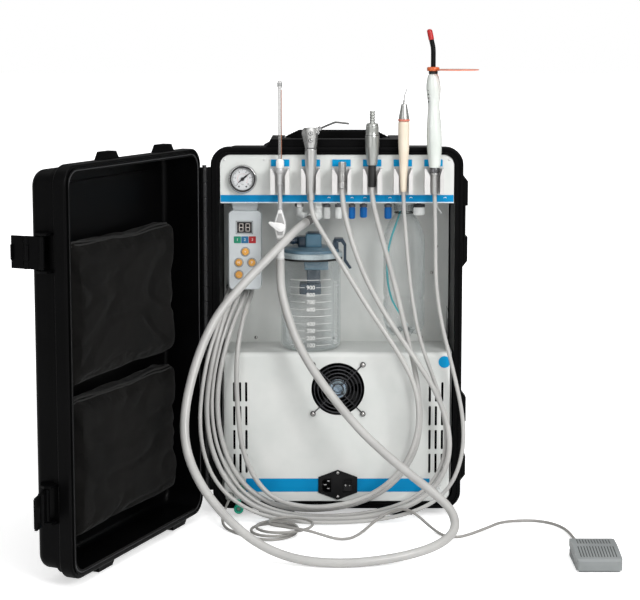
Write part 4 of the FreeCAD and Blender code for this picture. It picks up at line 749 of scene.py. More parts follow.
def buildGauge():
    gauge = dict(x=-153.6, z=564.0, hand=40, sweep=(-45, 225), minor=51, major=11, red=31)
    x, z = gauge["x"], gauge["z"]
    lathe("gaugeHousing", [(0, -48), (6, -48), (6, -62), (21, -62), (21, -93), (23.2, -93), (23.2, -101),
                           (22, -104), (19.4, -104), (18.6, -101.5), (18.6, -97.7), (0, -97.7)], (x, 0, z),
          "gauge_chrome", axis="y", cut=0.6, segments=72, node="gauge_body")
    lathe("gaugeDial", [(0, -97.5), (18.5, -97.5), (18.5, -97.9), (0, -97.9)], (x, 0, z), "dialWhite",
          axis="y", cut=0.05)
    lathe("gaugeSpindle", [(0, -97.5), (1.2, -97.5), (1.2, -100.6), (0, -100.6)], (x, 0, z), "gauge_chrome",
          axis="y", cut=0.1)
    # a black ring inside the bezel: painted shade of the bezel's concave inner wall
    lathe("gaugeShade", [(18.1, -97.8), (18.3, -101.6), (19.3, -104.3), (20.9, -104.4), (20.9, -103.4),
                         (19.2, -101), (18.9, -97.8), (18.1, -97.8)], (x, 0, z), "shadeBlack",
          axis="y", cut=0.1, segments=72)
    turn = math.radians(gauge["hand"])
    hand = [(-9.5, -0.5), (-9.5, 0.5), (0, 1.3), (6.5, 1.5), (14.8, 0.25), (14.8, -0.25), (6.5, -1.5),
            (0, -1.3)]
    slab("needleBlade", [(x + a * math.cos(turn) - b * math.sin(turn),
                          z + a * math.sin(turn) + b * math.cos(turn)) for a, b in hand], -100.4, -99.8,
         "shadeBlack", nodeSlots["gauge_needle"], body="needle", bevel=0.1)
    lathe("needleHub", [(0, -99.9), (3.0, -99.9), (3.0, -100.9), (0, -101.1)], (x, 0, z), "shadeBlack",
          body="needle", axis="y", cut=0.2)
    start, end = gauge["sweep"]
    rings = [("gaugeTicks", gauge["minor"], 15.9, 1.7, 0.28, "inkBlack"),
             ("gaugeTicksLong", gauge["major"], 15.2, 3.1, 0.5, "inkBlack"),
             ("gaugeTicksRed", gauge["red"], 8.6, 1.1, 0.3, "inkRed")]
    for name, count, radius, long, wide, ink in rings:
        unit = roundedBlock(name + "Unit", (-long / 2, -wide / 2, 0), (long / 2, wide / 2, 0.2), 0.03, 1)
        mesh = grow(name, "ring", unit, paint[ink], Count=count, Radius=radius * mm, From=math.radians(start),
                    Step=math.radians((end - start) / (count - 1)))
        addPiece(name, moved(facingFront(mesh), x, -97.8, z), None, "unit")
    rim = arcOutline(0, 0, 16.9, 0.35, start, end, 60)
    addPiece("gaugeScaleLine", moved(plateMesh("gaugeScaleLine", rim, -0.1, 0.1), x, -97.9, z), "inkBlack",
             "unit")
    words = []
    for i, text in enumerate(("0", "2", "4", "6", "8", "10")):
        turn = math.radians(end + (start - end) * i / 5)
        words.append(moved(wordMesh("dialNumber", text, 4.0), x + 11.9 * math.cos(turn), -97.95,
                           z + 11.9 * math.sin(turn)))
    addPiece("gaugeNumbers", joined("gaugeNumbers", words), "inkBlack", "unit")
    spots = [plateMesh("dialSpot", [(px + 1.5 * math.cos(i), pz + 1.5 * math.sin(i)) for i in range(0, 6)],
                       -98.0, -97.8) for px, pz in ((x - 6.0, z - 12.4), (x + 6.0, z - 12.4))]
    marks = spots + [moved(wordMesh("dialMark", "bar", 3.0), x, -97.95, z - 8.5)]
    addPiece("gaugeMarks", joined("gaugeMarks", marks), "inkBlack", "unit")
    lathe("gaugeGlass", [(0, -102.9), (18.9, -102.9), (18.9, -103.3), (0, -103.3)], (x, 0, z), "dialGlass",
          axis="y", cut=0.05)
    print("gauge made")


buildGauge()


# control box: screen, indicator strip, keys

def segmentMesh(name, x, z, wide, tall, lit, bar=1.5, gap=0.25):
    # one seven-segment figure, lower left corner at x, z
    parts = []
    places = {"a": (x, z + tall - bar, wide, bar), "g": (x, z + tall / 2 - bar / 2, wide, bar),
              "d": (x, z, wide, bar), "f": (x, z + tall / 2, bar, tall / 2),
              "b": (x + wide - bar, z + tall / 2, bar, tall / 2), "e": (x, z, bar, tall / 2),
              "c": (x + wide - bar, z, bar, tall / 2)}
    for key in lit:
        px, pz, w, h = places[key]
        parts.append(plateMesh(name, roundedOutline(px + gap, px + w - gap, pz + gap, pz + h - gap, 0.4, 2),
                               -71.2, -70.8))
    return parts


def buildControlBox():
    box = dict(screen=(-164.5, -140.0, 472.5, 490.7), strip=(-170.2, -133.2, 455.2, 467.1),
               figures=(-161.5, -150.6))
    slab("screenPane", roundedOutline(*box["screen"], 0.6), -70.95, -70.3, "screenDark", "control_grey",
         bevel=0.1)
    figures = [part for x in box["figures"] for part in segmentMesh("figure", x, 474.8, 7.6, 13.6, "abcdefg")]
    addPiece("screenFigures", joined("screenFigures", figures), "digitPale", "unit")
    rim = [plateMesh("rim", [(-166.6, z0), (-138.0, z0), (-138.0, z0 + 1.2), (-166.6, z0 + 1.2)], -72.3, -71.9)
           for z0 in (470.6, 491.4)]
    rim += [plateMesh("rim", [(x0, 470.6), (x0 + 1.2, 470.6), (x0 + 1.2, 492.6), (x0, 492.6)], -72.3, -71.9)
            for x0 in (-166.6, -139.2)]
    addPiece("screenRim", joined("screenRim", rim), "pedal_grey", "unit")
    x0, x1, z0, z1 = box["strip"]
    cell = (x1 - x0) / 3
    for i, colour in enumerate(("stripGreen", "stripBlue", "stripRed")):
        outline = roundedOutline(x0 + i * cell + 0.3, x0 + (i + 1) * cell - 0.3, z0 + 0.3, z1 - 0.3, 0.8, 3)
        slab("stripCell" + str(i + 1), outline, -71.9, -71.3, colour, "control_grey", bevel=0.15)
    numbers = [moved(wordMesh("n", str(i + 1), 6), x0 + (i + 0.5) * cell, -71.95, 461.2) for i in range(3)]
    addPiece("stripNumbers", joined("stripNumbers", numbers), "inkWhite", "unit")
    keys = {"key_up": (-151.1, 441.2, "+"), "key_left": (-161.9, 423.3, "M"), "key_right": (-140.3, 423.3, "P"),
            "key_down": (-161.9, 403.0, "-")}
    for node, (x, z, sign) in keys.items():
        label = pieceName(node)
        lathe(label + "Cap", [(0, -71.1), (6, -71.1), (6, -73.3), (5.2, -74.2), (3, -74.35), (0, -74.4)],
              (x, 0, z), "key_orange", body=node, axis="y", cut=0.4, node=node)
        mark = moved(wordMesh("sign", sign, 6), x, -74.45, z)
        addPiece(label + "Sign", mark, "inkWhite", node)
        ring = arcOutline(x, z, 7.4, 1.1, 0, 359.9, 40)
        slab(label + "Rim", ring, -72.35, -71.9, "pedal_grey", "control_grey", bevel=0)
    lathe("boxNeckRing", [(0, 512), (9, 512), (9, 516), (7, 517), (7, 523.5), (0, 523.5)], (-151.5, -57, 0),
          "gauge_chrome")
    print("control box made")


buildControlBox()


# regulating knobs

def buildKnobs():
    knobs = {"syringe_water_knob": (-16.3, 5.2, 24.0, "fitting_white"),
             "syringe_air_knob": (2.7, 5.2, 24.0, "fitting_white"),
             "turbine_water_knob": (24.9, 5.0, 24.0, "knob_blue"),
             "turbine_air_knob": (43.8, 5.6, 22.0, "knob_blue"),
             "motor_water_knob": (84.2, 5.6, 24.0, "knob_blue"),
             "bottle_pressure_knob": (135.2, 9.0, 18.0, "fitting_white")}
    rack = dict(top=520.0, y=-70.0, ribs=14)
    top, y = rack["top"], rack["y"]
    for node, (x, radius, tall, finish) in knobs.items():
        label = pieceName(node)
        low = top - tall
        body = [(0, low), (radius - 0.8, low), (radius, low + 1.5), (radius * 0.93, top - 5),
                (radius * 0.93, top - 4), (0, top - 4)]
        lathe(label + "Body", body, (x, y, 0), finish, body=node, cut=0.6, node=node)
        ribs = roundedBlock(label + "Rib", (-0.45, -0.55, 0), (0.5, 0.55, tall - 8), 0.25, 2)
        ringOf(label + "Ribs", ribs, finish, rack["ribs"], radius * 0.97, (x, y, low + 1.8),
               node)
        collar = "inkBlack" if radius > 8 else "compressor_metal"
        lathe(label + "Collar", [(0, top - 4.5), (radius + 0.7, top - 4.5), (radius + 0.7, top),
                                 (3.1, top + 0.3), (3.1, 530), (0, 530)], (x, y, 0), collar,
              body=node, cut=0.4)
    print("knobs made")


buildKnobs()


# fan: impeller with curved blades, guard with round wire

def wireRing(x, y, z, radius, wire, steps=72, sides=10):
    # one round wire of the guard, facing the front
    bm = bmesh.new()
    ring = []
    for a in (2 * math.pi * k / steps for k in range(steps)):
        around = [2 * math.pi * k / sides for k in range(sides)]
        ring.append([bm.verts.new(at(x + (radius + wire * math.cos(b)) * math.cos(a), y + wire * math.sin(b),
                                     z + (radius + wire * math.cos(b)) * math.sin(a))) for b in around])
    for here, there in zip(ring, ring[1:] + ring[:1]):
        for k in range(sides):
            after = (k + 1) % sides
            bm.faces.new((here[k], there[k], there[after], here[after]))
    bmesh.ops.recalc_face_normals(bm, faces=bm.faces)
    return meshOf(bm, "guardRing")


def buildFan():
    fan = dict(x=1.8, z=215.0, root=17.5, tip=41.3, blades=7, sweep=5.0, chord=6.6, twist=5.6, screws=82.5,
               guardY=-95.6, wire=0.95, rings=(9, 15, 21, 27, 33, 39))
    verts, faces, steps = [], [], 9
    for i in range(steps):
        reach = fan["root"] + (fan["tip"] - fan["root"]) * i / (steps - 1)
        sweep = fan["sweep"] * math.sin(math.pi * i / (steps - 1)) + (reach - fan["root"]) * 0.25
        for side in (-1, 1):
            for skin in (-0.7, 0.7):
                verts.append(at(reach, sweep + side * fan["chord"] + skin * 0.6,
                                6.0 - side * fan["twist"] + skin))
    for i in range(steps - 1):
        a, b = 4 * i, 4 * (i + 1)
        for j, k in ((0, 1), (1, 3), (3, 2), (2, 0)):
            faces.append((a + j, a + k, b + k, b + j))
    faces += [(0, 1, 3, 2), tuple(4 * (steps - 1) + k for k in (0, 2, 3, 1))]
    blade = softEdges(outward(meshFrom("bladeUnit", verts, faces)), 0.25, 1)
    mesh = grow("fanBlades", "ring", blade, paint["fan_black"], Count=fan["blades"], Radius=0.0, From=0.2,
                Step=2 * math.pi / fan["blades"])
    addPiece("fanBlades", moved(facingFront(mesh), fan["x"], -75.0, fan["z"]), None, "impeller",
             node="fan_impeller")
    lathe("fanHub", [(0, -73), (19, -73), (19, -86.5), (17.5, -88.3), (0, -88.5)], (fan["x"], 0, fan["z"]),
          "fan_black", body="impeller", axis="y", cut=0.8)
    lathe("fanSticker", [(0, -88.4), (15.8, -88.4), (15.8, -88.65), (0, -88.65)], (fan["x"], 0, fan["z"]),
          "stickerBlue", body="impeller", axis="y", cut=0.05)
    wires = [wireRing(fan["x"], fan["guardY"], fan["z"], radius, fan["wire"]) for radius in fan["rings"]]
    for turn in (45, 135, 225, 315):
        c, s = math.cos(math.radians(turn)), math.sin(math.radians(turn))
        arm = ((7, -94.7), (48, -94.7), (52, -93.9), (56, -93.9))
        path = [(fan["x"] + r * c, y, fan["z"] + r * s) for r, y in arm]
        wires.append(tubeMesh("guardArm", path, 0.9, smooth=False))
    eye, half = softened([(0, -93), (4.4, -93), (4.4, -97.0), (0, -97.2)], 0.6), fan["screws"] / 2
    for dx, dz in ((-half, -half), (-half, half), (half, -half), (half, half)):
        wires.append(turned("guardEye", eye, (fan["x"] + dx, 0, fan["z"] + dz), "y", 32))
    addPiece("fanGuardWires", joined("fanGuardWires", wires), "guard_wire", "unit",
             node="fan_guard")
    print("fan made")


buildFan()


# mains inlet and switch

def buildInlet():
    inlet = dict(pins=((-19.5, 51.8), (-13.6, 45.3), (-13.6, 58.3)), x=1.8, half=32)
    for i, (x, z) in enumerate(inlet["pins"]):
        block("inletPin" + str(i + 1), (x - 2.2, -90.5, z - 1.1), (x + 2.2, -72, z + 1.1), 0.3,
              "gauge_chrome")
    left, middle, right = inlet["x"] - inlet["half"], inlet["x"], inlet["x"] + inlet["half"]
    edge = [(left, 40), (middle, 28), (right, 40), (right, 66), (middle, 78), (left, 66)]
    line("inletEdge", [(x, -94.9, z) for x, z in edge + edge[:1]], 0.55, "inlet_black",
         smooth=False)
    marks = [moved(wordMesh("off", "0", 4.5), 14.6, -96.9, 52.4),
             moved(wordMesh("on", "-", 6), 21.6, -96.9, 52.4)]
    addPiece("switchMarks", moved(joined("switchMarks", marks), 0, 0.9, 0), "inkWhite", "rocker")
    print("inlet made:", len(inlet["pins"]), "pins")


buildInlet()


# collecting jar and its lid

def arcStrip(name, centre, radius, z, start, end, thick, deep=0.15):
    # a thin strip round an upright cylinder, angles in degrees from the front
    x, y = centre
    count = max(2, int(abs(end - start) / 3))
    verts, faces = [], []
    for i in range(count + 1):
        turn = math.radians(start + (end - start) * i / count)
        for reach, rise in ((0, -thick), (deep, -thick), (deep, thick), (0, thick)):
            verts.append(at(x + (radius + reach) * math.sin(turn), y - (radius + reach) * math.cos(turn),
                            z + rise / 2))
    for i in range(count):
        a, b = 4 * i, 4 * (i + 1)
        faces += [(a + k, a + (k + 1) % 4, b + (k + 1) % 4, b + k) for k in range(4)]
    faces += [(0, 1, 2, 3), tuple(4 * count + k for k in (3, 2, 1, 0))]
    return outward(meshFrom(name, verts, faces))


def buildJar():
    heights = {1000: 396.8, 900: 384.3, 800: 372.2, 700: 360.1, 600: 347.8,
               500: 336.3, 400: 323.7, 300: 312.2, 200: 299.9, 100: 288.0}
    jar = dict(x=-43, y=-43, base=276, top=430, radius=50, ribs=60, heights=heights)
    x, y, z0, top, r = jar["x"], jar["y"], jar["base"], jar["top"], jar["radius"]
    lathe("jarShell", [(0, z0), (r - 6, z0), (r, z0 + 6), (r, top - 12), (r + 2, top - 9), (r + 2, top),
                       (r - 2.5, top), (r - 2.5, z0 + 8), (r - 7, z0 + 3.5), (0, z0 + 3)], (x, y, 0),
          "jar_clear", cut=2.0, segments=96, node="suction_jar")
    marks, words = [], []

    def mark(z, start, end, thick):
        marks.append(arcStrip("mark", (x, y), r + 0.15, z, start, end, thick))

    for value, z in jar["heights"].items():
        if value % 500 == 0:
            mark(z, -42, 42, 0.7)
            continue
        mark(z, -42, -11, 0.6)
        mark(z, 10, 42, 0.6)
        words.append(wrapped(wordMesh("number", str(value), 9.4, bold=0.1), r + 0.25, x, y, z))
    low, high = jar["heights"][100], jar["heights"][1000]
    for i in range(44):
        mark(low + (high - low) * i / 45, 50, 60 if i % 5 else 64, 0.35)
    addPiece("jarGraduations", joined("jarGraduations", marks), "inkWhite", "unit")
    addPiece("jarNumbers", joined("jarNumbers", words), "inkWhite", "unit")

    lathe("jarCover", [(0, 436), (47.5, 436), (47.5, 441.5), (46, 443.8), (38, 444.6), (33, 447), (0, 448)],
          (x, y, 0), "lidPale", cut=1.5, segments=96, node="jar_lid")
    lathe("jarCoverRim", [(0, 430.1), (52.4, 430.1), (52.4, 437), (50.5, 438.6), (46, 439), (0, 439)],
          (x, y, 0), "rimPale", cut=0.8, segments=96)
    ribs = roundedBlock("rimRib", (-0.4, -0.9, 0), (0.5, 0.9, 6.4), 0.3, 2)
    ringOf("jarRimRibs", ribs, "rimPale", jar["ribs"], 52.3, (x, y, 430.4))
    seal = [(47.6, 426.8), (52.5, 426.8), (52.7, 430.0), (47.6, 430.0)]
    lathe("jarSeal", seal + seal[:1], (x, y, 0), "rubberBlack", cut=0.3, segments=96)
    block("floatCage", (x - 11, y - 18, 409), (x + 29, y + 18, 430), 2.0, "cageBlue")
    block("floatStem", (x - 7, y - 12, 384), (x + 16, y + 12, 410), 2.0, "jar_blue")
    block("floatPiece", (x - 19, y - 15, 367), (x + 17, y + 15, 386), 2.5, "jar_blue")
    block("pumpBlock", (x - 9, y - 17, 446), (x + 18, y + 17, 469), 3.0, "cageBlue")
    block("pumpBlockLow", (x - 21, y - 14, 446), (x - 8, y + 14, 464), 2.5, "jar_blue")
    block("pumpBlockCap", (x - 6, y - 13, 467), (x + 14, y + 13, 471), 1.5, "jar_blue")
    port = turned("suctionPort", softened([(0, 0), (5.6, 0), (5.6, 3), (6.5, 3.5), (6.5, 6), (5.6, 6.5),
                                           (5.6, 12), (6.8, 12.5), (6.8, 22), (0, 22)], 0.5), (0, 0, 0))
    addPiece("suctionPort", tilted(port, at(x - 34, y - 8, 457), (20, 8, 0)), "jar_blue", "unit")
    for i, dy in enumerate((-12, 12)):
        slab("clampEar" + str(i + 1), [(x + 36, 436), (x + 46, 436), (x + 46, 455), (x + 43, 457),
                                       (x + 39, 457), (x + 36, 455)], y + dy - 2, y + dy + 2, "jar_blue",
             "jar_blue", bevel=0.5)
    lathe("clampAxle", [(0, -11), (2, -11), (2, 11), (0, 11)], (x + 41, y, 453), "gauge_chrome",
          axis="y")
    print("jar made")


buildJar()


# clear bottle with its petal foot, cap and feed tube

def buildBottle():
    bottle = dict(x=113, y=-30, base=294, radius=35, petals=5, foot=26, rise=0.42, pinch=0.16, ribs=36)
    x, y, z0, r = bottle["x"], bottle["y"], bottle["base"], bottle["radius"]
    outer = [(0, z0 + 7), (12, z0 + 4), (24, z0 + 0.5), (r - 3, z0 + 9), (r, z0 + 20), (r, z0 + 58),
             (r - 2, z0 + 64), (r, z0 + 70), (r, z0 + 130), (r, z0 + 160), (r - 2, z0 + 174), (r - 8, z0 + 190),
             (r - 15, z0 + 201), (13.5, z0 + 209), (13, z0 + 226)]
    inner = [(radius - 0.9 if radius else 0, z + (0.9 if z < z0 + 15 else 0)) for radius, z in reversed(outer)]
    mesh = turned("bottleShell", softened(outer, 6, 4) + softened(inner, 6, 4), (x, y, 0), segments=100)
    for vertex in mesh.vertices:
        dx, dy, low = vertex.co.x - x * mm, vertex.co.y - y * mm, (z0 + bottle["foot"]) * mm - vertex.co.z
        if low > 0:
            dip = 0.5 - 0.5 * math.cos(bottle["petals"] * math.atan2(dy, dx))
            pinch = min(bottle["pinch"], low / (bottle["foot"] * mm) * bottle["pinch"])
            vertex.co += Vector((-dx * dip * pinch, -dy * dip * pinch, dip * low * bottle["rise"]))
    addPiece("bottleShell", mesh, "bottle_clear", "unit", sharp=60, node="water_bottle")
    tube = [(108.5, 520), (108, 512), (103, 492), (93, 466), (85.5, 436), (84, 402), (88, 370), (98, 341),
            (119, 311.5)]
    line("feedTubeSkin", [(px, y, pz) for px, pz in tube], 1.8, "tubeTeal")
    lathe("bottleCapSkin", [(0, 505.8), (17.3, 505.8), (17.3, 516.8), (19.2, 517), (19.2, 523.9), (0, 523.9)],
          (x, y, 0), "capClear", cut=0.6, segments=72)
    ribs = roundedBlock("capRib", (-0.4, -0.8, 0), (0.5, 0.8, 10), 0.3, 2)
    ringOf("bottleCapRibs", ribs, "capClear", bottle["ribs"], 17.3, (x, y, 506.3))
    lathe("bottleNeckRing", [(14.2, 501.8), (17.0, 501.8), (17.0, 503.4), (14.2, 503.4), (14.2, 501.8)],
          (x, y, 0), "rubberBlack", cut=0.5)
    print("bottle made")


buildBottle()


# saliva ejector with clear tip

def buildEjector():
    ejector = dict(x=-92.5, y=-111, grooves=3, ribs=24, slots=8)
    x, y = ejector["x"], ejector["y"]
    lathe("ejectorGrip", [(0, 434.2), (6.6, 434.2), (6.6, 436), (7.2, 436.3), (7.2, 438.3), (6.6, 438.6),
                          (6.6, 456), (5.2, 458), (5.2, 470), (0, 470)], (x, y, 0), "ejector_white",
          node="ejector_body")
    drop = [(-5.4, 468), (-7.6, 477), (-9.4, 484), (-9.8, 490), (-8.9, 497), (-6.9, 504), (-4.8, 510),
            (-3.6, 516), (3.6, 516), (4.8, 510), (6.9, 504), (8.9, 497), (9.8, 490), (9.4, 484), (7.6, 477),
            (5.4, 468)]
    slab("ejectorValve", [(x + a, z) for a, z in drop], y - 8, y + 8, "ejector_white", "ejector_white",
         bevel=2.6)
    face = [(x + a * 0.72, 492 + (z - 492) * 0.74) for a, z in drop]
    slab("ejectorFace", face, y - 8.6, y - 7.5, "faceGrey", "ejector_white", bevel=0.4)
    ribs = turned("grooveRing", softened([(0, -0.5), (6.1, -0.5), (6.1, 0.5), (0, 0.5)], 0.2), (0, 0, 0),
                  segments=32)
    rowOf("ejectorGrooves", ribs, "faceGrey", ejector["grooves"], (x, y, 459.5), (0, 0, 3.2))
    lathe("ejectorNeck", [(0, 510), (4.4, 512), (3.7, 522), (3.5, 535), (3.9, 556), (4.8, 556.2), (4.8, 559),
                          (4.2, 559.4), (4.9, 574), (6.4, 576), (6.4, 580), (5.6, 583), (0, 583)], (x, y, 0),
          "ejectorSteel")
    lathe("ejectorNut", [(0, 583), (6.1, 583), (6.1, 595), (5.5, 596.2), (3.2, 597.8), (0, 598)], (x, y, 0),
          "wingWhite")
    ribs = roundedBlock("nutRib", (-0.3, -0.5, 0), (0.35, 0.5, 10), 0.2, 2)
    ringOf("ejectorNutRibs", ribs, "wingWhite", ejector["ribs"], 6.1, (x, y, 584.2))
    tip = turned("ejectorTip", softened([(0, 597.5), (2.7, 597.5), (2.7, 711), (3.8, 713), (3.8, 721),
                                         (2.9, 723.6), (0, 724)], 0.5), (x, y, 0), segments=32)
    addPiece("ejectorTip", tip, "tipClear", "unit")
    slots = roundedBlock("tipSlot", (-0.2, -0.5, 0), (0.35, 0.5, 5.5), 0.2, 1)
    ringOf("ejectorTipSlots", slots, "pedal_grey", ejector["slots"], 3.7, (x, y, 714.3),
           start=0.2)
    line("ejectorWire", [(x + 2.5, y - 1.4, 598), (x + 2.4, y - 1.6, 650), (x + 2.5, y - 1.4, 709)], 0.75,
         "copper")
    wing = [(-110.5, 496.4), (-107, 497.4), (-102, 496), (-96.1, 495.6), (-89.1, 494.4), (-84.6, 491.6),
            (-83.6, 488), (-84.6, 484.6), (-88.6, 480.8), (-93.7, 480.2), (-98.8, 482.8), (-103.5, 487.4),
            (-108.9, 491.4), (-111, 494)]
    slab("ejectorWing", wing, -124.6, -120.4, "wingWhite", "ejector_white", body="ejector_lever", bevel=1.1,
         node="ejector_lever")
    lathe("ejectorWingHub", [(0, -125.2), (4.6, -125.2), (5.6, -124.2), (5.6, -119.7), (0, -119.7)],
          (x, 0, 488.5), "wingWhite", body="ejector_lever", axis="y")
    print("ejector made")


buildEjector()


# three-way syringe

def buildSyringe():
    syringe = dict(x=-42.7, y=-111, airButton=639, waterButton=628, spout=(9.5, 0, 4.2), reach=42)
    x, y = syringe["x"], syringe["y"]
    lathe("syringeSleeve", [(0, 531), (5.6, 531), (6.2, 532), (7.5, 560), (9.35, 596), (9.8, 612), (9.8, 614.5),
                            (0, 614.6)], (x, y, 0), "syringe_grey", cut=0.8, segments=72)
    lathe("syringeBand", [(0, 614.6), (10.2, 614.6), (10.4, 616.2), (0, 616.2)], (x, y, 0), "headDark",
          cut=0.3, segments=72)
    buttons = {"syringe_air_button": syringe["airButton"], "syringe_water_button": syringe["waterButton"]}
    for node, z in buttons.items():
        label = pieceName(node)
        lathe(label + "Cap", [(0, -119.6), (3.6, -119.6), (3.6, -124.2), (2.8, -125.3), (0, -125.6)], (x, 0, z),
              "gauge_chrome", body=node.replace("syringe_", ""), axis="y", cut=0.6, node=node)
    head = [(-51.6, 612), (-57.4, 637), (-57.4, 642), (-54.5, 647), (-50.5, 648.2), (-47, 646), (-44.5, 642.5),
            (-41.5, 643.5), (-37.5, 646), (-33.5, 644.5), (-31.6, 640.5), (-31.8, 636), (-34.4, 612)]
    slab("syringeHead", head, y - 8.2, y + 8.2, "syringeMetal", "syringe_grey", bevel=2.4)
    nut = turned("nozzleNut", softened([(0, 0), (3.7, 0), (3.9, 0.6), (3.9, 3.8), (3.2, 4.6), (0, 4.6)], 0.4),
                 (0, 0, 0), segments=36)
    start, away = Vector((x + 1.2, y, 640.5)), Vector(syringe["spout"]).normalized()
    addPiece("nozzleNut", tilted(nut, (start + away * 12.5) * mm, away), "gauge_chrome", "nozzle")
    knee = start + away * syringe["reach"]
    line("nozzleSkin", [start + away * 17, knee - away * 3, knee + Vector((3, 0, -0.4)),
                        knee + Vector((22, 0, -3))], 1.7, "syringeMetal",
         body="nozzle")
    lathe("syringeSideButton", [(0, 0), (3.4, 0), (3.4, 2.6), (2.4, 3.4), (0, 3.5)], (x + 10.8, y, 640),
          "gauge_chrome", axis="x", cut=0.5)
    print("syringe made")


buildSyringe()


# turbine coupling, air motor, scaler

def buildHandpieces():
    tools = dict(y=-111, turbine=8.3, motor=56.5, scaler=107.5, knurl=40, flutes=20)
    x, y = tools["turbine"], tools["y"]
    rings = [(0, 549.5), (5.4, 549.5), (6.2, 550.5)]
    for z in (560.5, 574, 578):
        rings += [(6.2, z - 0.5), (5.5, z - 0.2), (5.5, z + 0.6), (6.2, z + 0.9)]
    rings += [(6.2, 591.5), (5.6, 592.5), (4.6, 592.8), (4.3, 590.5), (0, 590.4)]
    lathe("turbineCoupling", rings, (x, y, 0), "couplingSteel", cut=0.15, segments=64,
          node="turbine_coupling")

    x = tools["motor"]
    lathe("motorSleeve", [(0, 552), (5.6, 552), (6.3, 553.5), (6.3, 587.5), (0, 587.5)], (x, y, 0),
          "rubberBlack", cut=0.8)
    profile = [(0, 587.5), (7.4, 587.5), (8.0, 589), (11.4, 617), (11.5, 634), (10.2, 640), (10.0, 652),
               (9, 655), (4.4, 655.5)]
    for i in range(4):
        z = 657 + 4.4 * i
        profile += [(4.5, z), (3.6, z + 0.6), (3.6, z + 2.2), (4.5, z + 2.8)]
    lathe("motorBody", profile + [(4.0, 675), (0, 675.2)], (x, y, 0), "motorGrey", cut=0.6,
          segments=72, node="air_motor")
    lathe("motorRing", [(0, 634.6), (11.3, 634.6), (11.1, 636.4), (0, 636.4)], (x, y, 0), "headDark",
          cut=0.3, segments=72)
    ribs = roundedBlock("motorRib", (-0.3, -0.5, 0), (0.35, 0.5, 9), 0.2, 2)
    ringOf("motorKnurl", ribs, "motorGrey", tools["knurl"], 10.1, (x, y, 641.5))

    x = tools["scaler"]
    lathe("scalerBody", [(0, 544), (4.6, 544), (5.6, 548), (7.0, 588), (8.8, 618), (9.3, 640), (9.2, 658.6),
                         (0, 658.6)], (x, y, 0), "scaler_cream", cut=3, segments=72,
          node="scaler_handpiece")
    lathe("scalerRing", [(0, 658.6), (9.4, 658.6), (9.4, 662), (0, 662)], (x, y, 0), "scalerRed",
          cut=0.4, segments=72)
    lathe("scalerCone", [(0, 662), (8.7, 662), (8.2, 664), (4.8, 684), (4.4, 686), (1.9, 686.2), (1.9, 692),
                         (1.1, 692.7), (0, 692.8)], (x, y, 0), "couplingSteel", cut=0.6,
          segments=72)
    corners = [(0.25, -0.35, 0), (0.25, 0.35, 0), (-0.4, 0, 0), (-3.3, -0.25, 19), (-3.3, 0.25, 19),
               (-4, 0, 19)]
    sides = [(0, 2, 1), (3, 4, 5), (0, 1, 4, 3), (1, 2, 5, 4), (2, 0, 3, 5)]
    flutes = meshFrom("flute", [at(*corner) for corner in corners], sides)
    ringOf("scalerFlutes", outward(flutes), "motorGrey", tools["flutes"], 8.3, (x, y, 664))
    line("scalerTip", [(x, y, 691), (x + 0.2, y, 697), (x + 1.5, y, 703), (x + 5.2, y, 711)], 0.75,
         "gauge_chrome")
    print("handpieces made")


buildHandpieces()


# curing light with its guide and shield

def bentBall(radius, x, y, z):
    # rounded end of the light guide
    arc = []
    for a in range(-90, 91, 15):
        turn = math.radians(a)
        arc.append((0 if abs(a) == 90 else radius * math.cos(turn), radius * math.sin(turn) * 0.75))
    return turned("ball", arc, (x, y, z), segments=32)


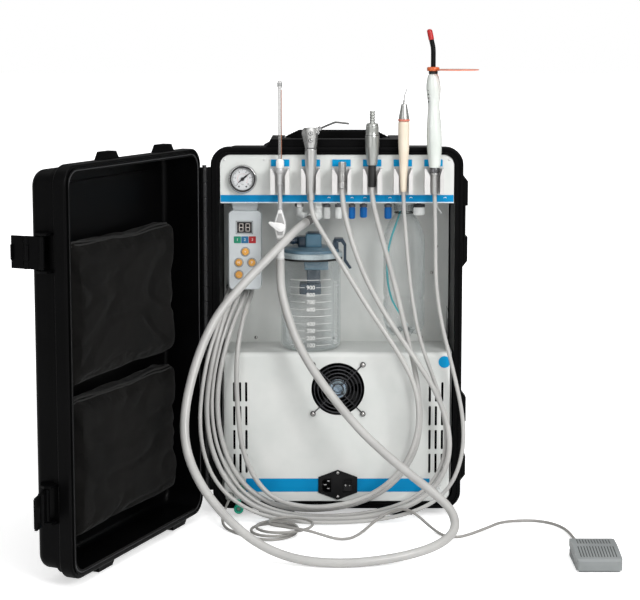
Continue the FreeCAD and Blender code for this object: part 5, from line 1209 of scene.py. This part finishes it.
def buildLight():
    light = dict(x=157.6, y=-111, foot=583, slope=-0.0225)       # it leans to the left from its foot upwards
    x, y, foot, slope = light["x"], light["y"], light["foot"], light["slope"]
    lean = (foot, slope)
    lathe("lightSleeve", [(0, 539), (4.6, 539), (5.8, 541), (5.8, 571), (6.6, 572), (6.6, 575), (0, 575)],
          (x, y, 0), "couplingSteel", node="curing_light")
    lathe("lightRing", [(0, 575), (7.8, 575), (8.3, 577), (8.2, 583), (0, 583)], (x, y, 0), "headDark",
          segments=12)
    shell = [(0, 583), (8.3, 583), (9.2, 586), (11.9, 612), (12.4, 630), (12.1, 645), (10.4, 668), (9.1, 682),
             (9.8, 692), (11.6, 706), (11.7, 716), (9.8, 728), (7.4, 735), (0, 735)]
    lathe("lightBody", shell, (x, y, 0), "light_white", cut=6, segments=96, lean=lean)
    lathe("lightNose", [(0, 734.6), (7.2, 734.6), (7.2, 739), (0, 739)], (x, y, 0), "rubberBlack",
          lean=lean)
    # a thin grey line along the facet on the left of the body: the facet is real, its grey is painted shade of
    # the recess beside it
    facet = []
    for i in range(9):
        z = 600 + i * 14.5
        side = 11.2 + 1.1 * math.sin((z - foot) / 152 * math.pi * 2)
        facet.append((x - side * 0.62 + (z - foot) * slope, y - side * 0.86, z))
    line("lightSeam", facet, 0.35, "controlPale")
    for i, z in enumerate((690, 696, 702, 708)):
        across = x + (z - foot) * slope - 8.9
        lathe("lightButton" + str(i + 1), [(0, -118.9), (1.0, -118.9), (1.0, -116), (0, -116)], (across, 0, z),
              "inkBlack", axis="y", cut=0.3)
    gx = x + (741 - foot) * slope
    lathe("guideCollar", [(0, 739.2), (9.6, 739.2), (10, 739.8), (10, 744.4), (8.6, 745.4), (4, 745.8),
                          (0, 745.8)], (gx, y, 0), "guideOrange", body="light_guide",
          node="curing_light_guide")
    paddle = turned("guidePaddle", softened([(0, 740.2), (36, 740.2), (36, 741.9), (0, 741.9)], 0.6),
                    (gx + 37.5, y, 0), segments=72)
    addPiece("guidePaddle", paddle, "shieldOrange", "light_guide")
    line("guideRod", [(gx, y, 744), (gx, y, 758), (gx, y, 772), (gx - 1.0, y, 780), (gx - 3.6, y, 790)], 3.9,
         "light_guide", body="light_guide")
    line("guideHead", [(gx - 3.4, y, 789), (gx - 5.0, y, 797), (gx - 6.2, y, 802.5)], 4.5, "guideRed",
         body="light_guide", smooth=False)
    tip = bentBall(4.5, gx - 6.2, y, 802.5)
    addPiece("guideTip", tip, "guideRed", "light_guide")
    print("curing light made")


buildLight()


# fabric pockets of the lid: padded by cloth, then creased, with piping along their tops

lid = dict(hingeX=-216, hingeY=-95, open=113.5, wall=-158.0)
padding = dict(shrink=0.985, voxel=5, pressure=4, stiffness=20, quality=5, frames=20, limit=7)
folds = dict(seed=5, bend=7, across=9, upright=22, fine=46, depth=1.6, ridge=0.72, ripple=0.35)


def lidPlace(x, y, z):
    # from the closed lid to the lid as it stands open
    turn = math.radians(-lid["open"])
    dx, dy = x - lid["hingeX"], y - lid["hingeY"]
    return (lid["hingeX"] + dx * math.cos(turn) - dy * math.sin(turn),
            lid["hingeY"] + dx * math.sin(turn) + dy * math.cos(turn), z)


def creased(mesh, seed):
    # soft folds: ridged noise pushed inwards along the normals
    noise.seed_set(folds["seed"])           # the same folds in every run
    shift = Vector((seed * 3.7, seed * 1.3, seed * 5.1))
    normals = [v.normal.copy() for v in mesh.vertices]
    for vertex, normal in zip(mesh.vertices, normals):
        p = vertex.co
        warp = noise.noise_vector(p * folds["bend"] + shift) * 0.6
        ridge = Vector((p.x * folds["across"], p.y * folds["across"], p.z * folds["upright"]))
        fold = 1 - abs(noise.noise(ridge + warp + shift))
        small = noise.noise(p * folds["fine"] + shift)
        depth = max(0, fold - folds["ridge"]) * folds["depth"] * mm * 6 + small * folds["ripple"] * mm
        vertex.co = p - normal * depth


def paddedPocket(name, node, seed):
    bm = bmesh.new()
    bm.from_mesh(nodes[node].data)
    bmesh.ops.remove_doubles(bm, verts=bm.verts, dist=0.00005)
    middle = sum((v.co for v in bm.verts), Vector()) / len(bm.verts)
    for vert in bm.verts:
        vert.co = middle + (vert.co - middle) * padding["shrink"]
    obj = bpy.data.objects.new(name, meshOf(bm, name))
    bpy.context.collection.objects.link(obj)
    remesh = obj.modifiers.new("remesh", "REMESH")
    remesh.mode = "VOXEL"
    remesh.voxel_size = padding["voxel"] * mm
    bpy.context.view_layer.update()
    whole = asMesh(obj)
    obj.modifiers.clear()
    obj.data = whole
    whole.materials.clear()
    rest = [v.co.copy() for v in whole.vertices]
    cloth = obj.modifiers.new("cloth", "CLOTH").settings
    cloth.quality = padding["quality"]
    cloth.use_pressure = True
    cloth.uniform_pressure_force = padding["pressure"]
    cloth.effector_weights.gravity = 0
    cloth.tension_stiffness = cloth.compression_stiffness = padding["stiffness"]
    scene = bpy.context.scene
    for step in range(padding["frames"]):
        scene.frame_set(step + 1)
    settled = asMesh(obj)
    obj.modifiers.clear()
    limit = padding["limit"] * mm
    wall, beyond = at(*lidPlace(0, lid["wall"], 0)), at(*lidPlace(0, lid["wall"] - 1, 0))
    away = (beyond - wall).normalized()
    for vertex, home in zip(settled.vertices, rest):
        shift = vertex.co - home
        if shift.length > limit:
            vertex.co = home + shift.normalized() * limit
        deep = (vertex.co - wall).dot(away)
        if deep > 0:
            vertex.co -= away * deep       # the back lies flat on the lid
    obj.data = whole = settled
    scene.frame_set(1)
    obj.modifiers.new("soft", "SUBSURF").levels = 1
    smooth = asMesh(obj)
    bpy.data.objects.remove(obj)
    creased(smooth, seed)
    obj = addPiece(name, outward(smooth), "pocket_nylon", "lid", sharp=80, node=node)
    return obj


def onSurface(path, surface):
    # sewn trim follows the fabric: each point moves to the nearest place on it
    return [tuple(surface.find_nearest(at(*point))[0] / mm) for point in path]


def buildPockets():
    pockets = {"upperPocket": ("pocket_upper", 284, 504, 3), "lowerPocket": ("pocket_lower", 56, 274, 8)}
    front = -117.5
    for name, (node, low, high, seed) in pockets.items():
        skin = paddedPocket(name, node, seed).data
        surface = BVHTree.FromPolygons([v.co for v in skin.vertices], [list(p.vertices) for p in skin.polygons])
        for i, (drop, depth, radius) in enumerate(((-1.5, front - 5.5, 2.0), (-9, front - 2.0, 1.4))):
            path = [lidPlace(x, depth + 1.2 * math.sin(x * 0.05 + seed),
                             high + drop + 1.1 * math.sin(x * 0.031 + seed * 2))
                    for x in (-138 + 11.8 * k for k in range(26))]
            line(name + "Piping" + str(i + 1), onSurface(path, surface), radius, "pipingBlack",
                 body="lid")
        # round the pocket on the closed lid: down the left, along the bottom, up the right
        down = [high - 20 - k * (high - low - 40) / 9 for k in range(10)]
        edge = [(-157, z) for z in down] + [(-151, low + 6)] + [(-138 + 24 * k, low + 1) for k in range(13)]
        edge += [(158, low + 6)] + [(165, z) for z in reversed(down)]
        side = [lidPlace(x, front - 9, z) for x, z in edge]
        line(name + "Binding", onSurface(side, surface), 1.8, "pipingBlack", body="lid")
    print("pockets made")


buildPockets()


# case: hinge knuckles, the strip behind them, seal round the lid

def buildCaseParts():
    hinge = dict(x=-216, y=-95, first=44.5, pitch=24.5, count=11, tall=24.0, radius=5.25)
    rim = dict(x=172, low=44, high=583, radius=24, depth=-97.0)
    knuckle = [(0, 0), (hinge["radius"], 0), (hinge["radius"], hinge["tall"]), (0, hinge["tall"])]
    for name, parity, body, slot in (("hingeKnucklesBase", 0, "unit", "case_black"),
                                     ("hingeKnucklesLid", 1, "lid", "case_black")):
        unit = turned("knuckleUnit", softened(knuckle, 0.5), (0, 0, 0), segments=20)
        first = (hinge["x"], hinge["y"], hinge["first"] + parity * hinge["pitch"])
        rowOf(name, unit, "knuckleDark", hinge["count"], first, (0, 0, 2 * hinge["pitch"]), body)
    slab("hingeBacking", [(-220, 45), (-205.5, 45), (-205.5, 582.5), (-220, 582.5)], -89.5, -88.9,
         "knuckleDark", "case_black", bevel=0.1)
    seal = []
    corners = ((rim["x"], rim["high"], 0), (-rim["x"], rim["high"], 90), (-rim["x"], rim["low"], 180),
               (rim["x"], rim["low"], 270))
    for cx, cz, start in corners:
        for turn in (math.radians(start + 15 * i) for i in range(7)):
            across, up = rim["radius"] * math.cos(turn), rim["radius"] * math.sin(turn)
            seal.append(lidPlace(cx + across, rim["depth"], cz + up))
    line("lidSeal", seal + seal[:1], 1.5, "sealGrey", body="lid", smooth=False)
    print("case parts made")


buildCaseParts()


# hose fittings at the lower left and under the top panel, foot control

def buildFittings():
    lathe("drainRing", [(8.0, -96.8), (8.0, -105.6), (3.6, -105.6), (3.6, -99), (3.6, -96.8), (8.0, -96.8)],
          (-163, 0, 14), "fittingGreen", axis="y", cut=0.9)
    line("drainStem", [(-163, -100.2, 30), (-163, -100.2, 20)], 3.8, "fittingGreen",
         smooth=False)
    lathe("quickCouplerDark", [(0, -93), (8.3, -93), (8.3, -98), (7.2, -99.4), (0, -99.4)], (-158, 0, 49),
          "inkBlack", axis="y", cut=0.5)
    lathe("quickCouplerGreen", [(0, -99.2), (5.8, -99.2), (5.8, -102.5), (5, -104.4), (0, -104.4)],
          (-158, 0, 49), "fittingGreen", axis="y", cut=0.6)
    lathe("reliefNut", [(0, -93), (7.5, -93), (7.5, -97.5), (6.4, -99), (0, -99)], (-178, 0, 33), "motorGrey",
          axis="y", cut=0.6, segments=24)
    profile = softened([(0, -0.6), (4.4, -0.6), (4.4, 0.6), (0, 0.6)], 0.3)
    rings = turned("reliefRing", profile, (0, 0, 0), "y", 24)
    rowOf("reliefRings", rings, "rubberBlack", 3, (-178, -100.6, 33), (0, -2.2, 0))
    glands = [(x, -6.2, 372) for x in (-182, -172, -162, -152, -142)]
    unit = turned("glandUnit", softened([(0, 0), (5.2, 0), (5.2, 5), (4.9, 5.6), (4.9, 15), (0, 15)], 0.5),
                  (0, 0, 0), "y", 24)
    onPoints("hoseGlands", unit, "pedal_grey", glands)
    lathe("elbowNut", [(0, 514), (10, 514), (10, 523.9), (0, 523.9)], (-30, -62, 0), "fitting_white",
          segments=6, cut=0.8)
    lathe("spurNut", [(0, 515), (7.4, 515), (7.4, 523.9), (0, 523.9)], (-62, -62, 0), "gauge_chrome",
          segments=6, cut=0.6)
    cuff = turned("suctionCuff", softened([(0, 0), (8.6, 0), (8.9, 0.8), (8.9, 7), (7.6, 8.2), (0, 8.2)], 0.5),
                  (0, 0, 0), segments=40)
    addPiece("suctionCuff", tilted(cuff, at(-38.6, -72.6, 498.0), (-13, -16, -6)), "fitting_white", "unit")
    line("suctionCuffDark", [(-43.0, -78.0, 496.0), (-49.6, -86.2, 492.9)], 7.35, "cuffDark",
         smooth=False)
    # dark strips on the treadle's top: painted shade in its grooves
    treadle = dict(x=356.0, y=-395.0, pitch=4.42, front=13, rear=12)
    step = (treadle["pitch"], 0, 0)
    slope = ((10.4, 20.65), (45.7, 26.45), (45.7, 26.8), (10.4, 21.0))
    corners = [at(dx, treadle["y"] + dy, z) for dx in (-0.75, 0.75) for dy, z in slope]
    sides = [(0, 1, 2, 3), (7, 6, 5, 4), (0, 4, 5, 1), (1, 5, 6, 2), (2, 6, 7, 3), (3, 7, 4, 0)]
    front = meshFrom("frontGroove", corners, sides)
    rowOf("treadleGrooves", outward(front), "grooveDark", treadle["front"],
          (treadle["x"] + 7.5, 0, 0), step, "treadle")
    rear = roundedBlock("rearGroove", (-0.75, 12.2, 27.15), (0.75, 31.8, 27.5), 0.05, 1)
    rowOf("treadleGroovesRear", rear, "grooveDark", treadle["rear"],
          (treadle["x"] + 9.7, -350, 0), step, "treadle")
    print("fittings made")


buildFittings()


# stage: floor, lamps, camera

def buildStage():
    look = dict(floorSize=30, floorTone=0.9, boxes=5.0, gap=0.06, box=0.5, roof=0.35,
                near=0.5, far=1.0, nearReach=0.75, farReach=1.9)
    lamps = {"keyLamp": ((1.6, -2.5, 1.6), 1.1, 58), "fillLamp": ((-1.6, -2.9, 1.2), 2.0, 24),
             "topLamp": ((0.3, -0.9, 2.6), 1.6, 20)}
    view = dict(place=(-0.0278, -2.8344, 0.8005), tilt=90 - 7.01, pixels=640, focal=1688, shift=60, chip=36)
    half = look["floorSize"]
    floor = bpy.data.objects.new("studioFloor", meshFrom("studioFloor", [
        (-half, -half, 0), (half, -half, 0), (half, half, 0), (-half, half, 0)], [(0, 1, 2, 3)]))
    bpy.context.collection.objects.link(floor)
    # the floor keeps the object's shadow and fades to white for the camera alone
    material, tree, shader, coords = startMaterial("floorWhite")
    feed(tree, shader, {
        "Base Color": (look["floorTone"],) * 3 + (1,), "Roughness": 0.9, "Specular IOR Level": 0.05})
    reach = newNode(tree, "ShaderNodeVectorMath", {0: coords}, operation="LENGTH").outputs["Value"]
    rise = rangeNode(tree, reach, look["near"], look["far"], look["nearReach"], look["farReach"])
    seen = newNode(tree, "ShaderNodeLightPath").outputs["Is Camera Ray"]
    fade = calc(tree, "MULTIPLY", seen, rise)
    glow = newNode(tree, "ShaderNodeEmission", {"Color": (1, 1, 1, 1), "Strength": fade})
    both = newNode(tree, "ShaderNodeAddShader", {0: shader.outputs[0], 1: glow.outputs[0]})
    feed(tree, tree.nodes["Material Output"], {"Surface": both.outputs[0]})
    floor.data.materials.append(material)

    world = bpy.data.worlds.new("studio")
    bpy.context.scene.world = world
    world.use_nodes = True
    tree = world.node_tree
    tree.nodes.clear()
    coords = newNode(tree, "ShaderNodeTexCoord").outputs["Generated"]
    parts = newNode(tree, "ShaderNodeSeparateXYZ", {0: coords}).outputs

    # soft boxes and dark gaps round the horizon, so that metal and glass have something to mirror
    around = calc(tree, "ARCTAN2", parts[0], parts[1])
    stripes = calc(tree, "SINE", calc(tree, "MULTIPLY", around, look["boxes"]))
    boxes = rangeNode(tree, stripes, look["gap"], look["box"], -0.25, 0.45)
    upper = rangeNode(tree, parts[2], 0.0, look["roof"], 0.25, 0.8)
    seen = newNode(tree, "ShaderNodeLightPath").outputs["Is Camera Ray"]
    level = newNode(tree, "ShaderNodeMix", {0: seen, 2: calc(tree, "ADD", boxes, upper), 3: 1.0}).outputs[0]
    sky = newNode(tree, "ShaderNodeBackground", {"Color": (1, 1, 1, 1), "Strength": level})
    newNode(tree, "ShaderNodeOutputWorld", {0: sky.outputs[0]})

    for name, (place, size, power) in lamps.items():
        lamp = bpy.data.lights.new(name, "AREA")
        lamp.size = size
        lamp.energy = power
        obj = bpy.data.objects.new(name, lamp)
        obj.location = place
        obj.rotation_euler = (Vector((0, 0, 0.35)) - Vector(place)).to_track_quat("-Z", "Y").to_euler()
        bpy.context.collection.objects.link(obj)

    camera = bpy.data.cameras.new("frontCamera")
    camera.lens = view["focal"] / view["pixels"] * view["chip"]
    camera.sensor_width = view["chip"]
    camera.shift_y = -view["shift"] / view["pixels"]
    camera.clip_end = 60
    obj = bpy.data.objects.new("frontCamera", camera)
    obj.location = view["place"]
    obj.rotation_euler = (math.radians(view["tilt"]), 0, 0)
    bpy.context.collection.objects.link(obj)
    bpy.context.scene.camera = obj
    bpy.context.scene.view_settings.view_transform = "Standard"
    print("stage built")


buildStage()
